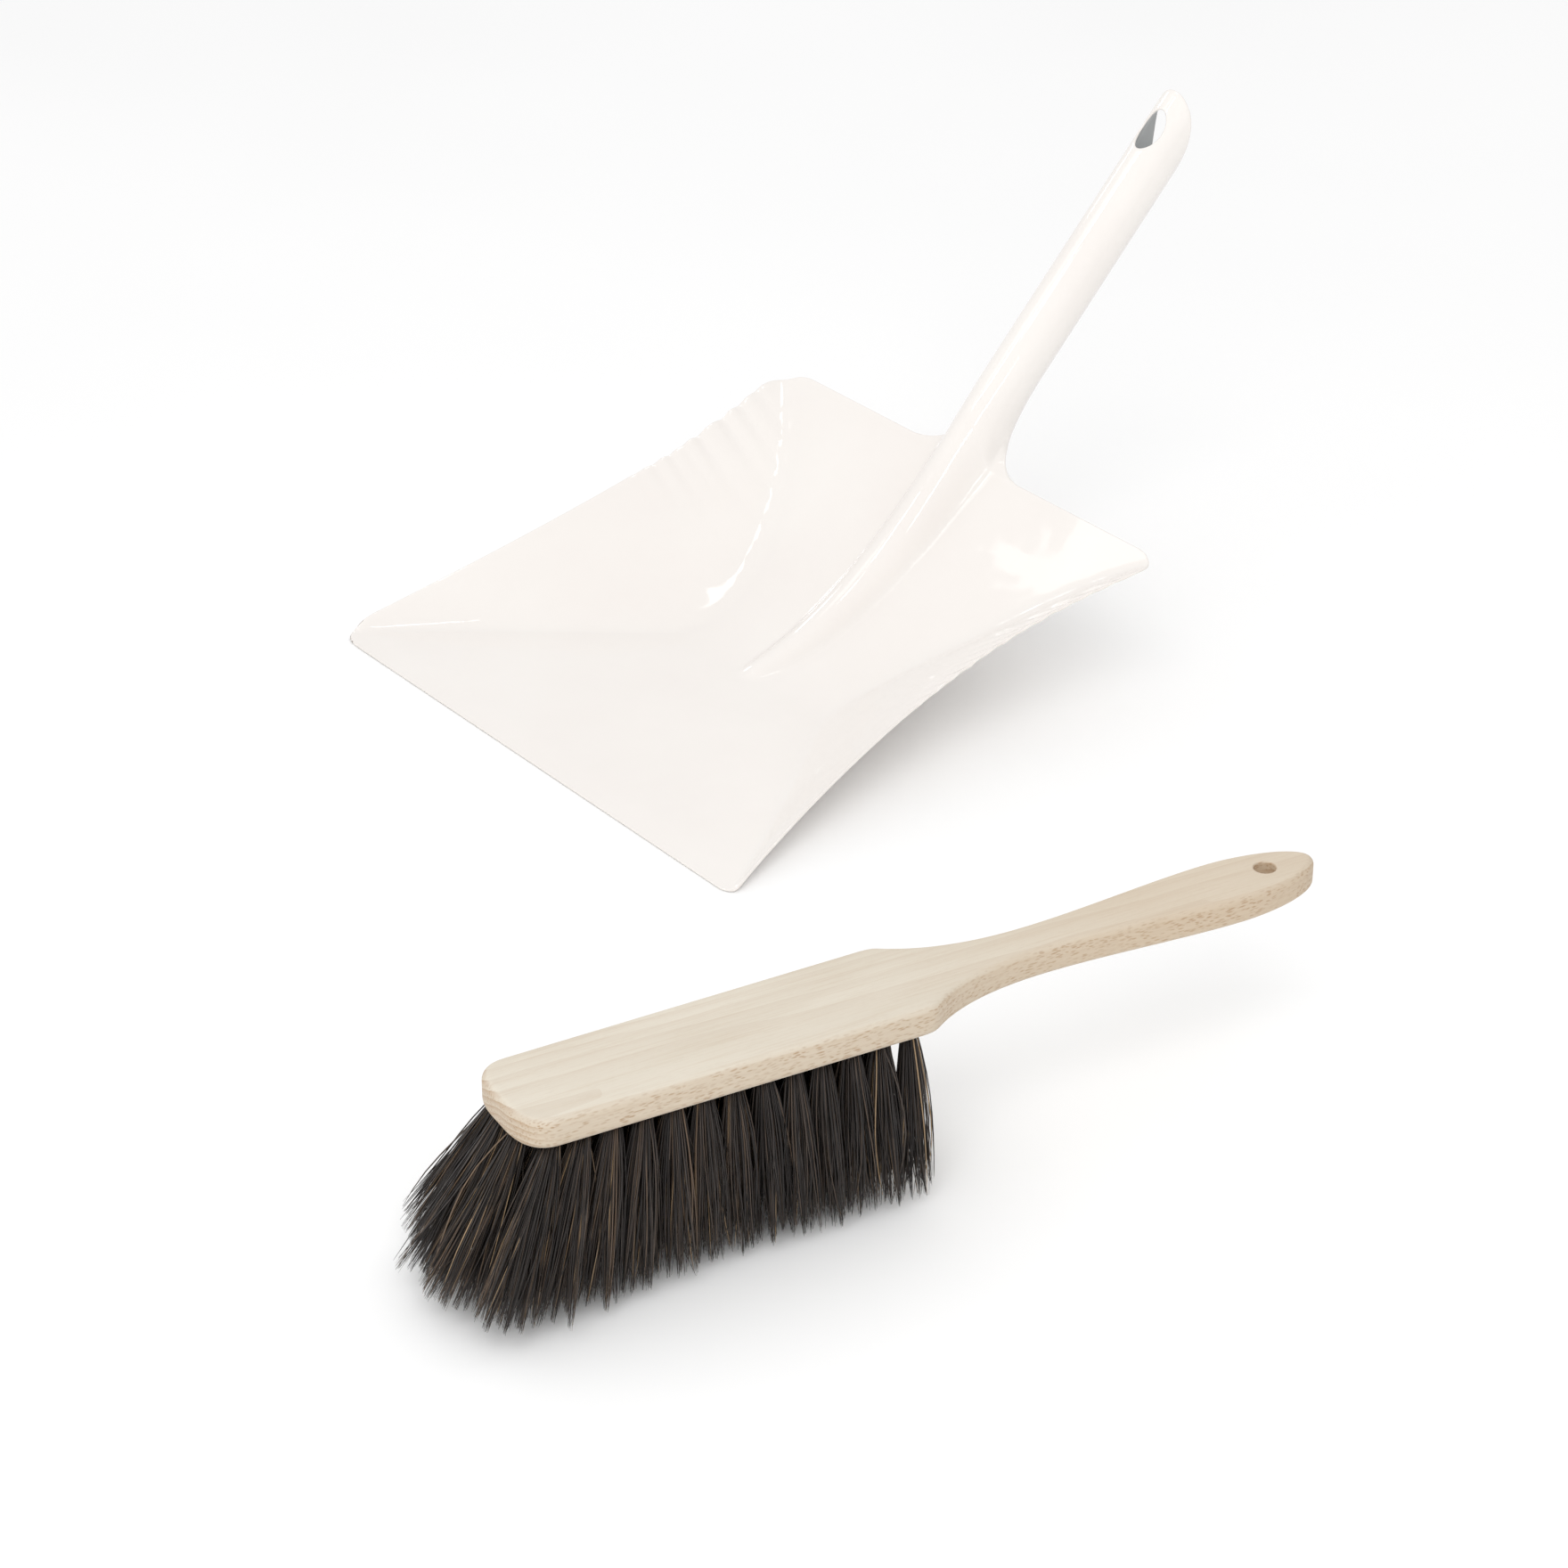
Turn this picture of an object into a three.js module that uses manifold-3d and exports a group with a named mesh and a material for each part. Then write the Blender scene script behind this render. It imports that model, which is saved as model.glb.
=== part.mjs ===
// Dust pan and hand brush, laid side by side on a floor.
// Units are millimetres. X runs across the pan, Y from its sweeping edge to its handle, Z up.
// The origin is the middle of the pair's bounding box, on the floor.
// The pan is one pressed steel sheet whose rear strip is rolled into the handle tube.
// The brush is one beech board with bristle tufts set in drilled sockets.
import * as THREE from 'three';
import Module from 'manifold-3d';

const wasm = await Module();
wasm.setup();

// ---- pan: driving dimensions ----
const SHEET = 0.8; // sheet thickness
const PAN_DEPTH = 215; // sweeping edge to back edge, in plan
const FRONT_HALF = 130; // half width at the sweeping edge
const WAIST_HALF = 105.6; // half width where the side walls come closest
const WAIST_Y = 140;
const BACK_HALF = 117.2; // half width at the back corners
const WALL_HEIGHT = 62; // height of the back edge and of the back corners
const WALL_BOW = 0.24; // how far the top edge bows up above a straight line
const FRONT_FLARE = 1.7; // how sharply the sides flare out towards the sweeping edge
const BACK_FLARE = 2; // how sharply they flare out towards the back corners
const FLOOR_FLAT = 104; // length of the flat part of the floor
const BACK_CURVE = 1.75; // how sharply the floor sweeps up into the back wall
const CREASE_ROUND = 4; // most rounding of the creases between side and back walls
const CREASE_ROUND_SHARE = 0.3; // rounding as a share of the crease's height, where that is less
// How far each rounded corner reaches along its edges, left and right.
const FRONT_CORNERS = [15, 9];
const BACK_CORNERS = [20, 15];
const CORNER_STEPS = 7;
// Lean of the side walls at their top edge, in degrees, from the front to the back.
const WALL_LEAN = [[0, 46], [100, 38], [170, 36], [PAN_DEPTH, 27]];
// How sharply the side walls turn out of the floor.
const WALL_TURN = [[0, 1.2], [100, 1.4], [PAN_DEPTH, 1.4]];

// ---- pan: stiffening rib, a ridge that grows out of the floor into the handle ----
const RIB_NOSE_Y = 105;
const RIB_HEIGHT = [[105, 0], [109, 2.4], [120, 4], [140, 6.4], [171, 11], [190, 15], [PAN_DEPTH, 20.1]];
const RIB_HALF = [[105, 4], [109, 5.2], [120, 7], [140, 8.8], [171, 11], [PAN_DEPTH, 12.5]];
const RIB_ROUND = 0.8;

// ---- pan: handle tube ----
const TUBE_INNER = 9.7; // inside radius
const TUBE_RISE = THREE.MathUtils.degToRad(46.7);
const TUBE_START_Z = 68; // height of the tube's axis above the back edge
const TUBE_LENGTH = 162.7; // from the back edge to the tip, along the axis
const TUBE_END_CUT = 48; // how much shorter the seam side is than the top side
const TUBE_END_EASE = 2.1; // how late round the tube that cut sets in
const SEAM_HALF_GAP = 0.35;
const ROLL_LENGTH = 40; // length over which the flat strip closes into a tube
const ROLL_EASE = 2.2; // how early within that length the strip closes
const TURN_LENGTH = 30; // length over which the sheet bends up to the tube's slope
const HANG_HOLE_HALF = [5.6, 9.4]; // across and along the handle
const HANG_HOLE_FROM_TIP = 18;
const HANG_HOLE_STEPS = 14;

// ---- pan: mesh lines ----
const NECK_X = [0, 2.6, 5.2, 7.4, 9.2, 10.6, 11.6, 12.5, 15, 18.5, 22.5, 26.5];
const WING_X = [36, 46, 57, 68, 78, 87, 95, 102, 108, 113, BACK_HALF];
const BLADE_Y = [0, 8, 17, 27, 38, 50, 62, 74, 85, 95, 101, 105, 107, 109, 112, 117, 124, 131, 138,
  145, 152, 159, 166, 173, 180, 187, 193, 199, 204, 209, PAN_DEPTH];
const TUBE_S = [3, 6, 10, 14, 18, 23, 28, 34, 40, 60, 80, 100];
const TUBE_END_T = [0.16, 0.32, 0.48, 0.62, 0.76, 0.89, 1];

// ---- cutters: how far they reach beyond what they cut ----
const CUT_OVERLAP = 1;
const CORNER_CUT_OUT = 20;
const CORNER_CUT_HEIGHT = 140;

// ---- brush: driving dimensions ----
const BOARD_THICK = 10.5;
const BOARD_TOP = 69.7; // height of the board's top face above the floor
const BOARD_ROUND = 2.5; // rounding of the board's edges
const BOARD_START = 8; // the board's front end, along the brush
const BOARD_END = 306.6; // the handle's tip
const SHOULDER = 150; // where the block ends and the handle begins
const BLOCK_HALF_FRONT = 20;
const BLOCK_HALF = 21;
const GRIP_HALF = 8.1; // narrowest part of the handle
const PALM_HALF = 12.6; // widest part of the handle
const GRIP_AT = 198;
const PALM_AT = 272;
const NOSE_FLAT_HALF = 4; // half width of the flat end face
const NOSE_LENGTH = 12; // length of the rounded front corners
// Curves of one side of the outline: two control points and an end point, [along, across].
const NOSE_CURVE = [
  [BOARD_START, 13],
  [BOARD_START + 3, BLOCK_HALF_FRONT],
  [BOARD_START + NOSE_LENGTH, BLOCK_HALF_FRONT],
];
const HANDLE_CURVES = [
  [[SHOULDER + 8, 15], [GRIP_AT - 26, GRIP_HALF], [GRIP_AT, GRIP_HALF]],
  [[GRIP_AT + 24, GRIP_HALF], [PALM_AT - 22, PALM_HALF], [PALM_AT, PALM_HALF]],
  [[PALM_AT + 16, PALM_HALF], [BOARD_END, 7.5], [BOARD_END, 0]],
];
const OUTLINE_STEPS = 10;
const BOARD_HOLE_RADIUS = 3.7;
const BOARD_HOLE_ROUND = 0.7;
const BOARD_HOLE_AT = 288;
const BOARD_HOLE_SIDES = 24;
const RIM_STEPS = 3;
const SOCKET_RADIUS = 2.5;
const SOCKET_DEPTH = 6.5;
const SOCKET_SIDES = 10;
const CLEARANCE = 0.3;
const TUFT_PITCH = 10.35;
const TUFTS_PER_ROW = 13;
// Rows across the block: offset from the middle, and where the first tuft stands.
const ROWS = [
  { name: 'row1', w: -15.3, start: 18.7 },
  { name: 'row2', w: -5, start: 13.5 },
  { name: 'row3', w: 5, start: 13.5 },
  { name: 'row4', w: 15.3, start: 18.7 },
];
const TUFT_SIDES = 8;
const TIP_BEVEL = 1.5; // height of the slightly narrowed tips
const TIP_BEVEL_SIZE = 0.8;
const TUFT_TIP_HALF = [4.8, 6.1]; // along and across the brush
const FRONT_TIP_GROWTH = 1.1; // extra spread of the leaning front tufts
const SIDE_SPREAD = 1.32; // tips stand wider apart than the sockets
const FRONT_SIDE_SPREAD = 0.5;
const FRONT_REACH = 27; // how far the first tufts lean forward
const FRONT_LEAN_END = 75; // tufts beyond this stand upright
const FRONT_LEAN_LENGTH = 62;
const FRONT_LEAN_EASE = 1.3;

// ---- where the brush lies beside the pan ----
const BRUSH_X = 273;
const BRUSH_Y = -205.8;
const BRUSH_TURN = THREE.MathUtils.degToRad(81.5);

// ---- materials ----
const ENAMEL = new THREE.MeshStandardMaterial({ color: 0xf6f1ea, roughness: 0.22, metalness: 0.0 });
const BEECH = new THREE.MeshStandardMaterial({ color: 0xdfcdb2, roughness: 0.6, metalness: 0.0 });
const BRISTLE = new THREE.MeshStandardMaterial({ color: 0x2a241f, roughness: 0.7, metalness: 0.0 });

const clamp01 = (value) => Math.min(1, Math.max(0, value));
const mix = (a, b, t) => a + (b - a) * t;
const smooth = (t) => t * t * (3 - 2 * t);

// Straight-line reading of a list of [position, value] pairs.
function along(list, position) {
  let previous = list[0];
  for (const entry of list) {
    if (position <= entry[0]) {
      const span = entry[0] - previous[0];
      return span > 0 ? mix(previous[1], entry[1], (position - previous[0]) / span) : entry[1];
    }
    previous = entry;
  }
  return previous[1];
}

// The larger of two heights, with the crease between them rounded.
function roundedMax(a, b, round) {
  if (round <= 0) return Math.max(a, b);
  const h = clamp01(0.5 + (0.5 * (a - b)) / round);
  return mix(b, a, h) + round * h * (1 - h);
}

function toManifold(geometry) {
  const positions = geometry.attributes.position.array;
  const mesh = new wasm.Mesh({
    numProp: 3,
    vertProperties: new Float32Array(positions),
    triVerts: new Uint32Array(geometry.index.array),
  });
  mesh.merge();
  return new wasm.Manifold(mesh);
}

function fromManifold(solid) {
  const mesh = solid.getMesh();
  const geometry = new THREE.BufferGeometry();
  geometry.setAttribute('position', new THREE.BufferAttribute(new Float32Array(mesh.vertProperties), 3));
  geometry.setIndex(new THREE.BufferAttribute(new Uint32Array(mesh.triVerts), 1));
  geometry.computeVertexNormals();
  return geometry;
}

function indexed(geometry) {
  if (geometry.index) return geometry;
  const count = geometry.attributes.position.count;
  geometry.setIndex([...Array(count).keys()]);
  return geometry;
}

// ---- pan sheet ----
function halfWidth(y) {
  if (y < WAIST_Y) return WAIST_HALF + (FRONT_HALF - WAIST_HALF) * (1 - y / WAIST_Y) ** FRONT_FLARE;
  const beyond = (y - WAIST_Y) / (PAN_DEPTH - WAIST_Y);
  return WAIST_HALF + (BACK_HALF - WAIST_HALF) * beyond ** BACK_FLARE;
}

function edgeHeight(y) {
  const s = y / PAN_DEPTH;
  return WALL_HEIGHT * ((1 + WALL_BOW) * s - WALL_BOW * s * s);
}

// Height of the sheet's underside above the floor.
function sheetHeight(x, y) {
  const top = edgeHeight(y);
  const turn = along(WALL_TURN, y);
  const lean = Math.tan(THREE.MathUtils.degToRad(along(WALL_LEAN, y)));
  const wallWidth = Math.max((turn * top) / lean, 1e-3);
  const inward = halfWidth(y) - Math.abs(x);
  const side = top * clamp01(1 - inward / wallWidth) ** turn;
  const back = WALL_HEIGHT * clamp01((y - FLOOR_FLAT) / (PAN_DEPTH - FLOOR_FLAT)) ** BACK_CURVE;
  const round = Math.min(CREASE_ROUND, CREASE_ROUND_SHARE * Math.max(side, back));
  const base = roundedMax(side, back, round);
  if (y <= RIB_NOSE_Y) return base;
  const across = clamp01(Math.abs(x) / along(RIB_HALF, y));
  return base + along(RIB_HEIGHT, y) * (1 - across * across) ** RIB_ROUND;
}

// Grid of underside points: rows run up the pan and on up the handle.
function panGrid() {
  const half = [...NECK_X, ...WING_X];
  const columns = [...half.slice(1).reverse().map((x) => -x), ...half];
  const neckFirst = WING_X.length;
  const neckCount = 2 * NECK_X.length - 1;
  const rows = [];
  for (const y of BLADE_Y) {
    const scale = halfWidth(y) / BACK_HALF;
    rows.push(columns.map((x) => new THREE.Vector3(x * scale, y, sheetHeight(x * scale, y))));
  }
  const start = rows[rows.length - 1].slice(neckFirst, neckFirst + neckCount);
  const angles = rollAngles(start);
  const point = (s, j) => neckPoint(s, start[j], angles[j]);
  for (const s of TUBE_S) {
    rows.push(start.map((_, j) => point(s, j)));
  }
  const last = TUBE_S[TUBE_S.length - 1];
  for (const t of TUBE_END_T) {
    rows.push(start.map((_, j) => point(mix(last, stripEnd(angles[j]), t), j)));
  }
  return { rows, bladeRows: BLADE_Y.length, neckFirst, neckCount };
}

// Angle round the finished tube of each point across the strip, from how far round it lies.
function rollAngles(start) {
  const lengths = [0];
  for (let j = 1; j < start.length; j += 1) {
    lengths.push(lengths[j - 1] + start[j].distanceTo(start[j - 1]));
  }
  const half = lengths[lengths.length - 1] / 2;
  const limit = Math.PI - SEAM_HALF_GAP / TUBE_INNER;
  return lengths.map((length) => ((length - half) / half) * limit);
}

function stripEnd(angle) {
  return TUBE_LENGTH - TUBE_END_CUT * Math.abs(angle / Math.PI) ** TUBE_END_EASE;
}

// A point of the strip at distance s beyond the back edge: flat ridge section turning into a tube.
function neckPoint(s, from, angle) {
  const closed = 1 - (1 - clamp01(s / ROLL_LENGTH)) ** ROLL_EASE;
  const tilt = TUBE_RISE * smooth(clamp01(s / TURN_LENGTH));
  const stretch = 1 / Math.cos(TUBE_RISE - tilt);
  const openX = from.x;
  const openH = (from.z - TUBE_START_Z) * Math.cos(TUBE_RISE) * stretch;
  const roundX = TUBE_INNER * Math.sin(angle);
  const roundH = TUBE_INNER * Math.cos(angle) * stretch;
  const x = mix(openX, roundX, closed);
  const h = mix(openH, roundH, closed);
  const y = PAN_DEPTH + s * Math.cos(TUBE_RISE) - h * Math.sin(tilt);
  const z = TUBE_START_Z + s * Math.sin(TUBE_RISE) + h * Math.cos(tilt);
  return new THREE.Vector3(x, y, z);
}

// Turns the grid into a closed sheet of even thickness.
function thicken(grid) {
  const ids = [];
  const points = [];
  grid.rows.forEach((row, i) => {
    ids.push(row.map((p) => points.push(p) - 1));
    if (i === grid.bladeRows - 1) {
      ids.push(ids[i].slice(grid.neckFirst, grid.neckFirst + grid.neckCount));
    }
  });
  const faces = [];
  for (let i = 0; i + 1 < ids.length; i += 1) {
    if (ids[i].length !== ids[i + 1].length) continue;
    for (let j = 0; j + 1 < ids[i].length; j += 1) {
      const [a, b, c, d] = [ids[i][j], ids[i][j + 1], ids[i + 1][j + 1], ids[i + 1][j]];
      const mirrored = j >= (ids[i].length - 1) / 2;
      if (mirrored) faces.push([a, b, c], [a, c, d]);
      else faces.push([a, b, d], [b, c, d]);
    }
  }
  const normals = points.map(() => new THREE.Vector3());
  for (const [a, b, c] of faces) {
    const ab = points[b].clone().sub(points[a]);
    const ac = points[c].clone().sub(points[a]);
    const normal = ab.cross(ac);
    for (const id of [a, b, c]) normals[id].add(normal);
  }
  const count = points.length;
  const upper = points.map((p, id) => p.clone().addScaledVector(normals[id].normalize(), SHEET));
  const index = [];
  const edges = new Map();
  for (const [a, b, c] of faces) {
    index.push(a + count, b + count, c + count, a, c, b);
    for (const [from, to] of [[a, b], [b, c], [c, a]]) {
      if (!edges.delete(`${to},${from}`)) edges.set(`${from},${to}`, [from, to]);
    }
  }
  for (const [from, to] of edges.values()) {
    index.push(from, to, to + count, from, to + count, from + count);
  }
  const geometry = new THREE.BufferGeometry();
  const all = [...points, ...upper].flatMap((p) => [p.x, p.y, p.z]);
  geometry.setAttribute('position', new THREE.Float32BufferAttribute(all, 3));
  geometry.setIndex(index);
  return geometry;
}

// Upright cutter that rounds one corner of the sheet.
function cornerCutter(corner, toFirst, toSecond) {
  const outward = corner.clone().multiplyScalar(2).sub(toFirst).sub(toSecond).setLength(CORNER_CUT_OUT);
  const shape = new THREE.Shape();
  shape.moveTo(toFirst.x, toFirst.y);
  shape.quadraticCurveTo(corner.x, corner.y, toSecond.x, toSecond.y);
  shape.lineTo(toSecond.x + outward.x, toSecond.y + outward.y);
  shape.lineTo(corner.x + outward.x, corner.y + outward.y);
  shape.lineTo(toFirst.x + outward.x, toFirst.y + outward.y);
  shape.closePath();
  const settings = { depth: CORNER_CUT_HEIGHT, bevelEnabled: false, curveSegments: CORNER_STEPS };
  const geometry = new THREE.ExtrudeGeometry(shape, settings);
  geometry.translate(0, 0, -CORNER_CUT_OUT);
  return toManifold(indexed(geometry));
}

function cornerCutters() {
  const cutters = [];
  [-1, 1].forEach((side, k) => {
    const front = FRONT_CORNERS[k];
    const back = BACK_CORNERS[k];
    cutters.push(cornerCutter(
      new THREE.Vector2(side * FRONT_HALF, -SHEET),
      new THREE.Vector2(side * (FRONT_HALF - front), -SHEET),
      new THREE.Vector2(side * (halfWidth(front) + SHEET), front),
    ));
    cutters.push(cornerCutter(
      new THREE.Vector2(side * (BACK_HALF + SHEET / 2), PAN_DEPTH + SHEET / 2),
      new THREE.Vector2(side * (BACK_HALF - back), PAN_DEPTH + SHEET / 2),
      new THREE.Vector2(side * (halfWidth(PAN_DEPTH - back) + SHEET / 2), PAN_DEPTH - back),
    ));
  });
  return cutters;
}

// Oval cutter through the top side of the tube only.
function hangHoleCutter() {
  const shape = new THREE.Shape();
  shape.absellipse(0, 0, HANG_HOLE_HALF[0], HANG_HOLE_HALF[1], 0, 2 * Math.PI);
  const settings = { depth: TUBE_INNER + SHEET, bevelEnabled: false, curveSegments: HANG_HOLE_STEPS };
  const geometry = new THREE.ExtrudeGeometry(shape, settings);
  const s = TUBE_LENGTH - HANG_HOLE_FROM_TIP;
  geometry.translate(0, 0, CUT_OVERLAP);
  geometry.rotateX(TUBE_RISE);
  geometry.translate(0, PAN_DEPTH + s * Math.cos(TUBE_RISE), TUBE_START_Z + s * Math.sin(TUBE_RISE));
  return toManifold(indexed(geometry));
}

function makePan() {
  let solid = toManifold(thicken(panGrid()));
  for (const cutter of [...cornerCutters(), hangHoleCutter()]) {
    solid = solid.subtract(cutter);
  }
  return fromManifold(solid);
}

// ---- brush board ----
function boardShape() {
  const side = new THREE.Path();
  side.moveTo(BOARD_START, NOSE_FLAT_HALF);
  side.bezierCurveTo(...NOSE_CURVE.flat());
  side.lineTo(SHOULDER, BLOCK_HALF);
  for (const curve of HANDLE_CURVES) {
    side.bezierCurveTo(...curve.flat());
  }
  const half = side.getPoints(OUTLINE_STEPS);
  const mirrored = half.slice(0, -1).reverse().map((p) => new THREE.Vector2(p.x, -p.y));
  return new THREE.Shape([...half, ...mirrored]);
}

// Cutter for the hang hole, with softened rims at both faces of the board.
function boardHoleCutter() {
  const bottom = BOARD_TOP - BOARD_THICK;
  const wide = BOARD_HOLE_RADIUS + BOARD_HOLE_ROUND;
  const profile = [[0, bottom - CUT_OVERLAP], [wide, bottom - CUT_OVERLAP]];
  const rim = [];
  for (let step = 0; step <= RIM_STEPS; step += 1) {
    const angle = (step * Math.PI) / (2 * RIM_STEPS);
    rim.push([wide - BOARD_HOLE_ROUND * Math.sin(angle), BOARD_HOLE_ROUND * (1 - Math.cos(angle))]);
  }
  profile.push(...rim.map(([radius, depth]) => [radius, bottom + depth]));
  profile.push(...rim.reverse().map(([radius, depth]) => [radius, BOARD_TOP - depth]));
  profile.push([wide, BOARD_TOP + CUT_OVERLAP], [0, BOARD_TOP + CUT_OVERLAP]);
  const points = profile.map(([radius, height]) => new THREE.Vector2(radius, height));
  const geometry = new THREE.LatheGeometry(points, BOARD_HOLE_SIDES);
  geometry.rotateX(Math.PI / 2);
  geometry.translate(BOARD_HOLE_AT, 0, 0);
  return toManifold(geometry);
}

function tuftPlaces() {
  const places = [];
  for (const row of ROWS) {
    for (let i = 0; i < TUFTS_PER_ROW; i += 1) {
      const number = String(i + 1).padStart(2, '0');
      places.push({ name: `bristle_tuft_${row.name}_${number}`, t: row.start + i * TUFT_PITCH, w: row.w });
    }
  }
  return places;
}

function makeBoard() {
  const geometry = new THREE.ExtrudeGeometry(boardShape(), {
    depth: BOARD_THICK - 2 * BOARD_ROUND,
    bevelEnabled: true,
    bevelThickness: BOARD_ROUND,
    bevelSize: BOARD_ROUND,
    bevelOffset: -BOARD_ROUND,
    bevelSegments: RIM_STEPS,
    curveSegments: OUTLINE_STEPS,
  });
  geometry.translate(0, 0, BOARD_TOP - BOARD_THICK + BOARD_ROUND);
  let solid = toManifold(indexed(geometry));
  solid = solid.subtract(boardHoleCutter());
  const drillLength = SOCKET_DEPTH + CUT_OVERLAP;
  const socket = new THREE.CylinderGeometry(SOCKET_RADIUS, SOCKET_RADIUS, drillLength, SOCKET_SIDES);
  socket.rotateX(Math.PI / 2);
  socket.translate(0, 0, BOARD_TOP - BOARD_THICK + SOCKET_DEPTH - drillLength / 2);
  const drill = toManifold(socket);
  for (const place of tuftPlaces()) {
    solid = solid.subtract(drill.translate([place.t, place.w, 0]));
  }
  return fromManifold(solid);
}

// ---- bristle tufts ----
// Each tuft is a bundle that fills its socket and widens towards the floor.
function makeTuft(place) {
  const front = clamp01((FRONT_LEAN_END - place.t) / FRONT_LEAN_LENGTH);
  const tipT = place.t - FRONT_REACH * front ** FRONT_LEAN_EASE;
  const tipW = place.w * (SIDE_SPREAD + FRONT_SIDE_SPREAD * front);
  const tipHalf = [TUFT_TIP_HALF[0] + FRONT_TIP_GROWTH * front, TUFT_TIP_HALF[1]];
  const rootZ = BOARD_TOP - BOARD_THICK;
  const rootHalf = SOCKET_RADIUS - CLEARANCE;
  const levels = [
    { z: rootZ + SOCKET_DEPTH - CLEARANCE, size: 1 },
    { z: rootZ, size: 1 },
    { z: rootZ / 2, size: 1 },
    { z: TIP_BEVEL, size: 1 },
    { z: 0, size: TIP_BEVEL_SIZE },
  ];
  const positions = [];
  for (const level of levels) {
    const spread = clamp01(1 - level.z / rootZ);
    for (let k = 0; k < TUFT_SIDES; k += 1) {
      const angle = ((k + 0.5) * 2 * Math.PI) / TUFT_SIDES;
      const halfT = mix(rootHalf, tipHalf[0], spread) * level.size;
      const halfW = mix(rootHalf, tipHalf[1], spread) * level.size;
      positions.push(
        mix(place.t, tipT, spread) + halfT * Math.cos(angle),
        mix(place.w, tipW, spread) + halfW * Math.sin(angle),
        level.z,
      );
    }
  }
  const index = [];
  for (let ring = 0; ring + 1 < levels.length; ring += 1) {
    for (let k = 0; k < TUFT_SIDES; k += 1) {
      const next = (k + 1) % TUFT_SIDES;
      const [a, b] = [ring * TUFT_SIDES + k, ring * TUFT_SIDES + next];
      const [c, d] = [a + TUFT_SIDES, b + TUFT_SIDES];
      index.push(a, c, b, b, c, d);
    }
  }
  const lastRing = (levels.length - 1) * TUFT_SIDES;
  for (let k = 1; k + 1 < TUFT_SIDES; k += 1) {
    index.push(0, k, k + 1);
    index.push(lastRing, lastRing + k + 1, lastRing + k);
  }
  const geometry = new THREE.BufferGeometry();
  geometry.setAttribute('position', new THREE.Float32BufferAttribute(positions, 3));
  geometry.setIndex(index);
  geometry.computeVertexNormals();
  return geometry;
}

// ---- assembly ----
function layBrush(geometry) {
  geometry.rotateZ(BRUSH_TURN);
  geometry.translate(BRUSH_X, BRUSH_Y, 0);
  return geometry;
}

const group = new THREE.Group();
group.name = 'dust_pan_and_brush_set';

function add(name, geometry, material) {
  const mesh = new THREE.Mesh(geometry, material);
  mesh.name = name;
  group.add(mesh);
}

add('dust_pan_sheet', makePan(), ENAMEL);
add('brush_board', layBrush(makeBoard()), BEECH);
for (const place of tuftPlaces()) {
  add(place.name, layBrush(makeTuft(place)), BRISTLE);
}

// Stand the pair on the floor, centred on the origin.
const bounds = new THREE.Box3().setFromObject(group);
const centre = bounds.getCenter(new THREE.Vector3());
for (const mesh of group.children) {
  mesh.geometry.translate(-centre.x, -centre.y, -bounds.min.z);
}

export default group;
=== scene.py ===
import math

import bmesh
import bpy
import numpy as np
from mathutils import Matrix, Vector


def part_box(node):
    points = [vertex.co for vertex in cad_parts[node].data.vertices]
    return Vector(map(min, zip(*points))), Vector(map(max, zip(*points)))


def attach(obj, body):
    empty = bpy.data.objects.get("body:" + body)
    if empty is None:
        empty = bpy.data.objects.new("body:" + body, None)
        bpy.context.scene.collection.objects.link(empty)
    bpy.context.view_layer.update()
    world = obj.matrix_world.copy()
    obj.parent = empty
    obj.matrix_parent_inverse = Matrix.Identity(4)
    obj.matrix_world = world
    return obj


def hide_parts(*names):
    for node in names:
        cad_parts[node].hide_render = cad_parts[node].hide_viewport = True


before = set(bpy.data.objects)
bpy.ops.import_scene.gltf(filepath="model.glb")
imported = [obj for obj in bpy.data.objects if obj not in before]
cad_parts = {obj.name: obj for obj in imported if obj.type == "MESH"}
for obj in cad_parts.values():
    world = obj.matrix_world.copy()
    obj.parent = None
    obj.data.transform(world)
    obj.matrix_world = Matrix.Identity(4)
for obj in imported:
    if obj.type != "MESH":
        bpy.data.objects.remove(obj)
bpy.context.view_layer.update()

MM = 0.001
TINY = 1e-6
RELAX_STEP = 0.5  # share of the way to its neighbours' middle that a point moves in one softening pass
rng = np.random.default_rng(20261117)

# ---- where things are, from the frame ----
SHEET_REACH_LEFT = 127.11  # from the pan's middle line to its leftmost point
sheet_low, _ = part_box("dust_pan_sheet")
PAN_ORIGIN = Vector((sheet_low.x + SHEET_REACH_LEFT * MM, sheet_low.y, 0.0))
BRUSH_PLACE = (273.0, -205.8)  # brush origin, from the middle of the pan's sweeping edge
BRUSH_TURN = math.radians(81.5)
PAN_MATRIX = Matrix.Translation(PAN_ORIGIN)
BRUSH_MATRIX = (
    Matrix.Translation(PAN_ORIGIN + Vector((BRUSH_PLACE[0] * MM, BRUSH_PLACE[1] * MM, 0.0)))
    @ Matrix.Rotation(BRUSH_TURN, 4, "Z")
)

# ---- pan: driving dimensions ----
SHEET = 0.8
PAN_DEPTH = 215.0
FRONT_HALF = 130.0
WAIST_HALF = 105.6
WAIST_Y = 140.0
BACK_HALF = 117.2
WALL_HEIGHT = 62.0
WALL_BOW = 0.24
NARROWEST_WALL = 0.001
FRONT_FLARE = 1.7
BACK_FLARE = 2.0
FLOOR_FLAT = 104.0
BACK_CURVE = 1.75
CREASE_ROUND = 3.2
CREASE_ROUND_SHARE = 0.2
FRONT_CORNERS = (15.0, 9.0)  # left, right
BACK_CORNERS = (20.0, 15.0)
WALL_LEAN = ((0, 46), (100, 38), (170, 36), (PAN_DEPTH, 27))
WALL_TURN = ((0, 1.2), (100, 1.4), (PAN_DEPTH, 1.4))
RIB_NOSE_Y = 105.0
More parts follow.
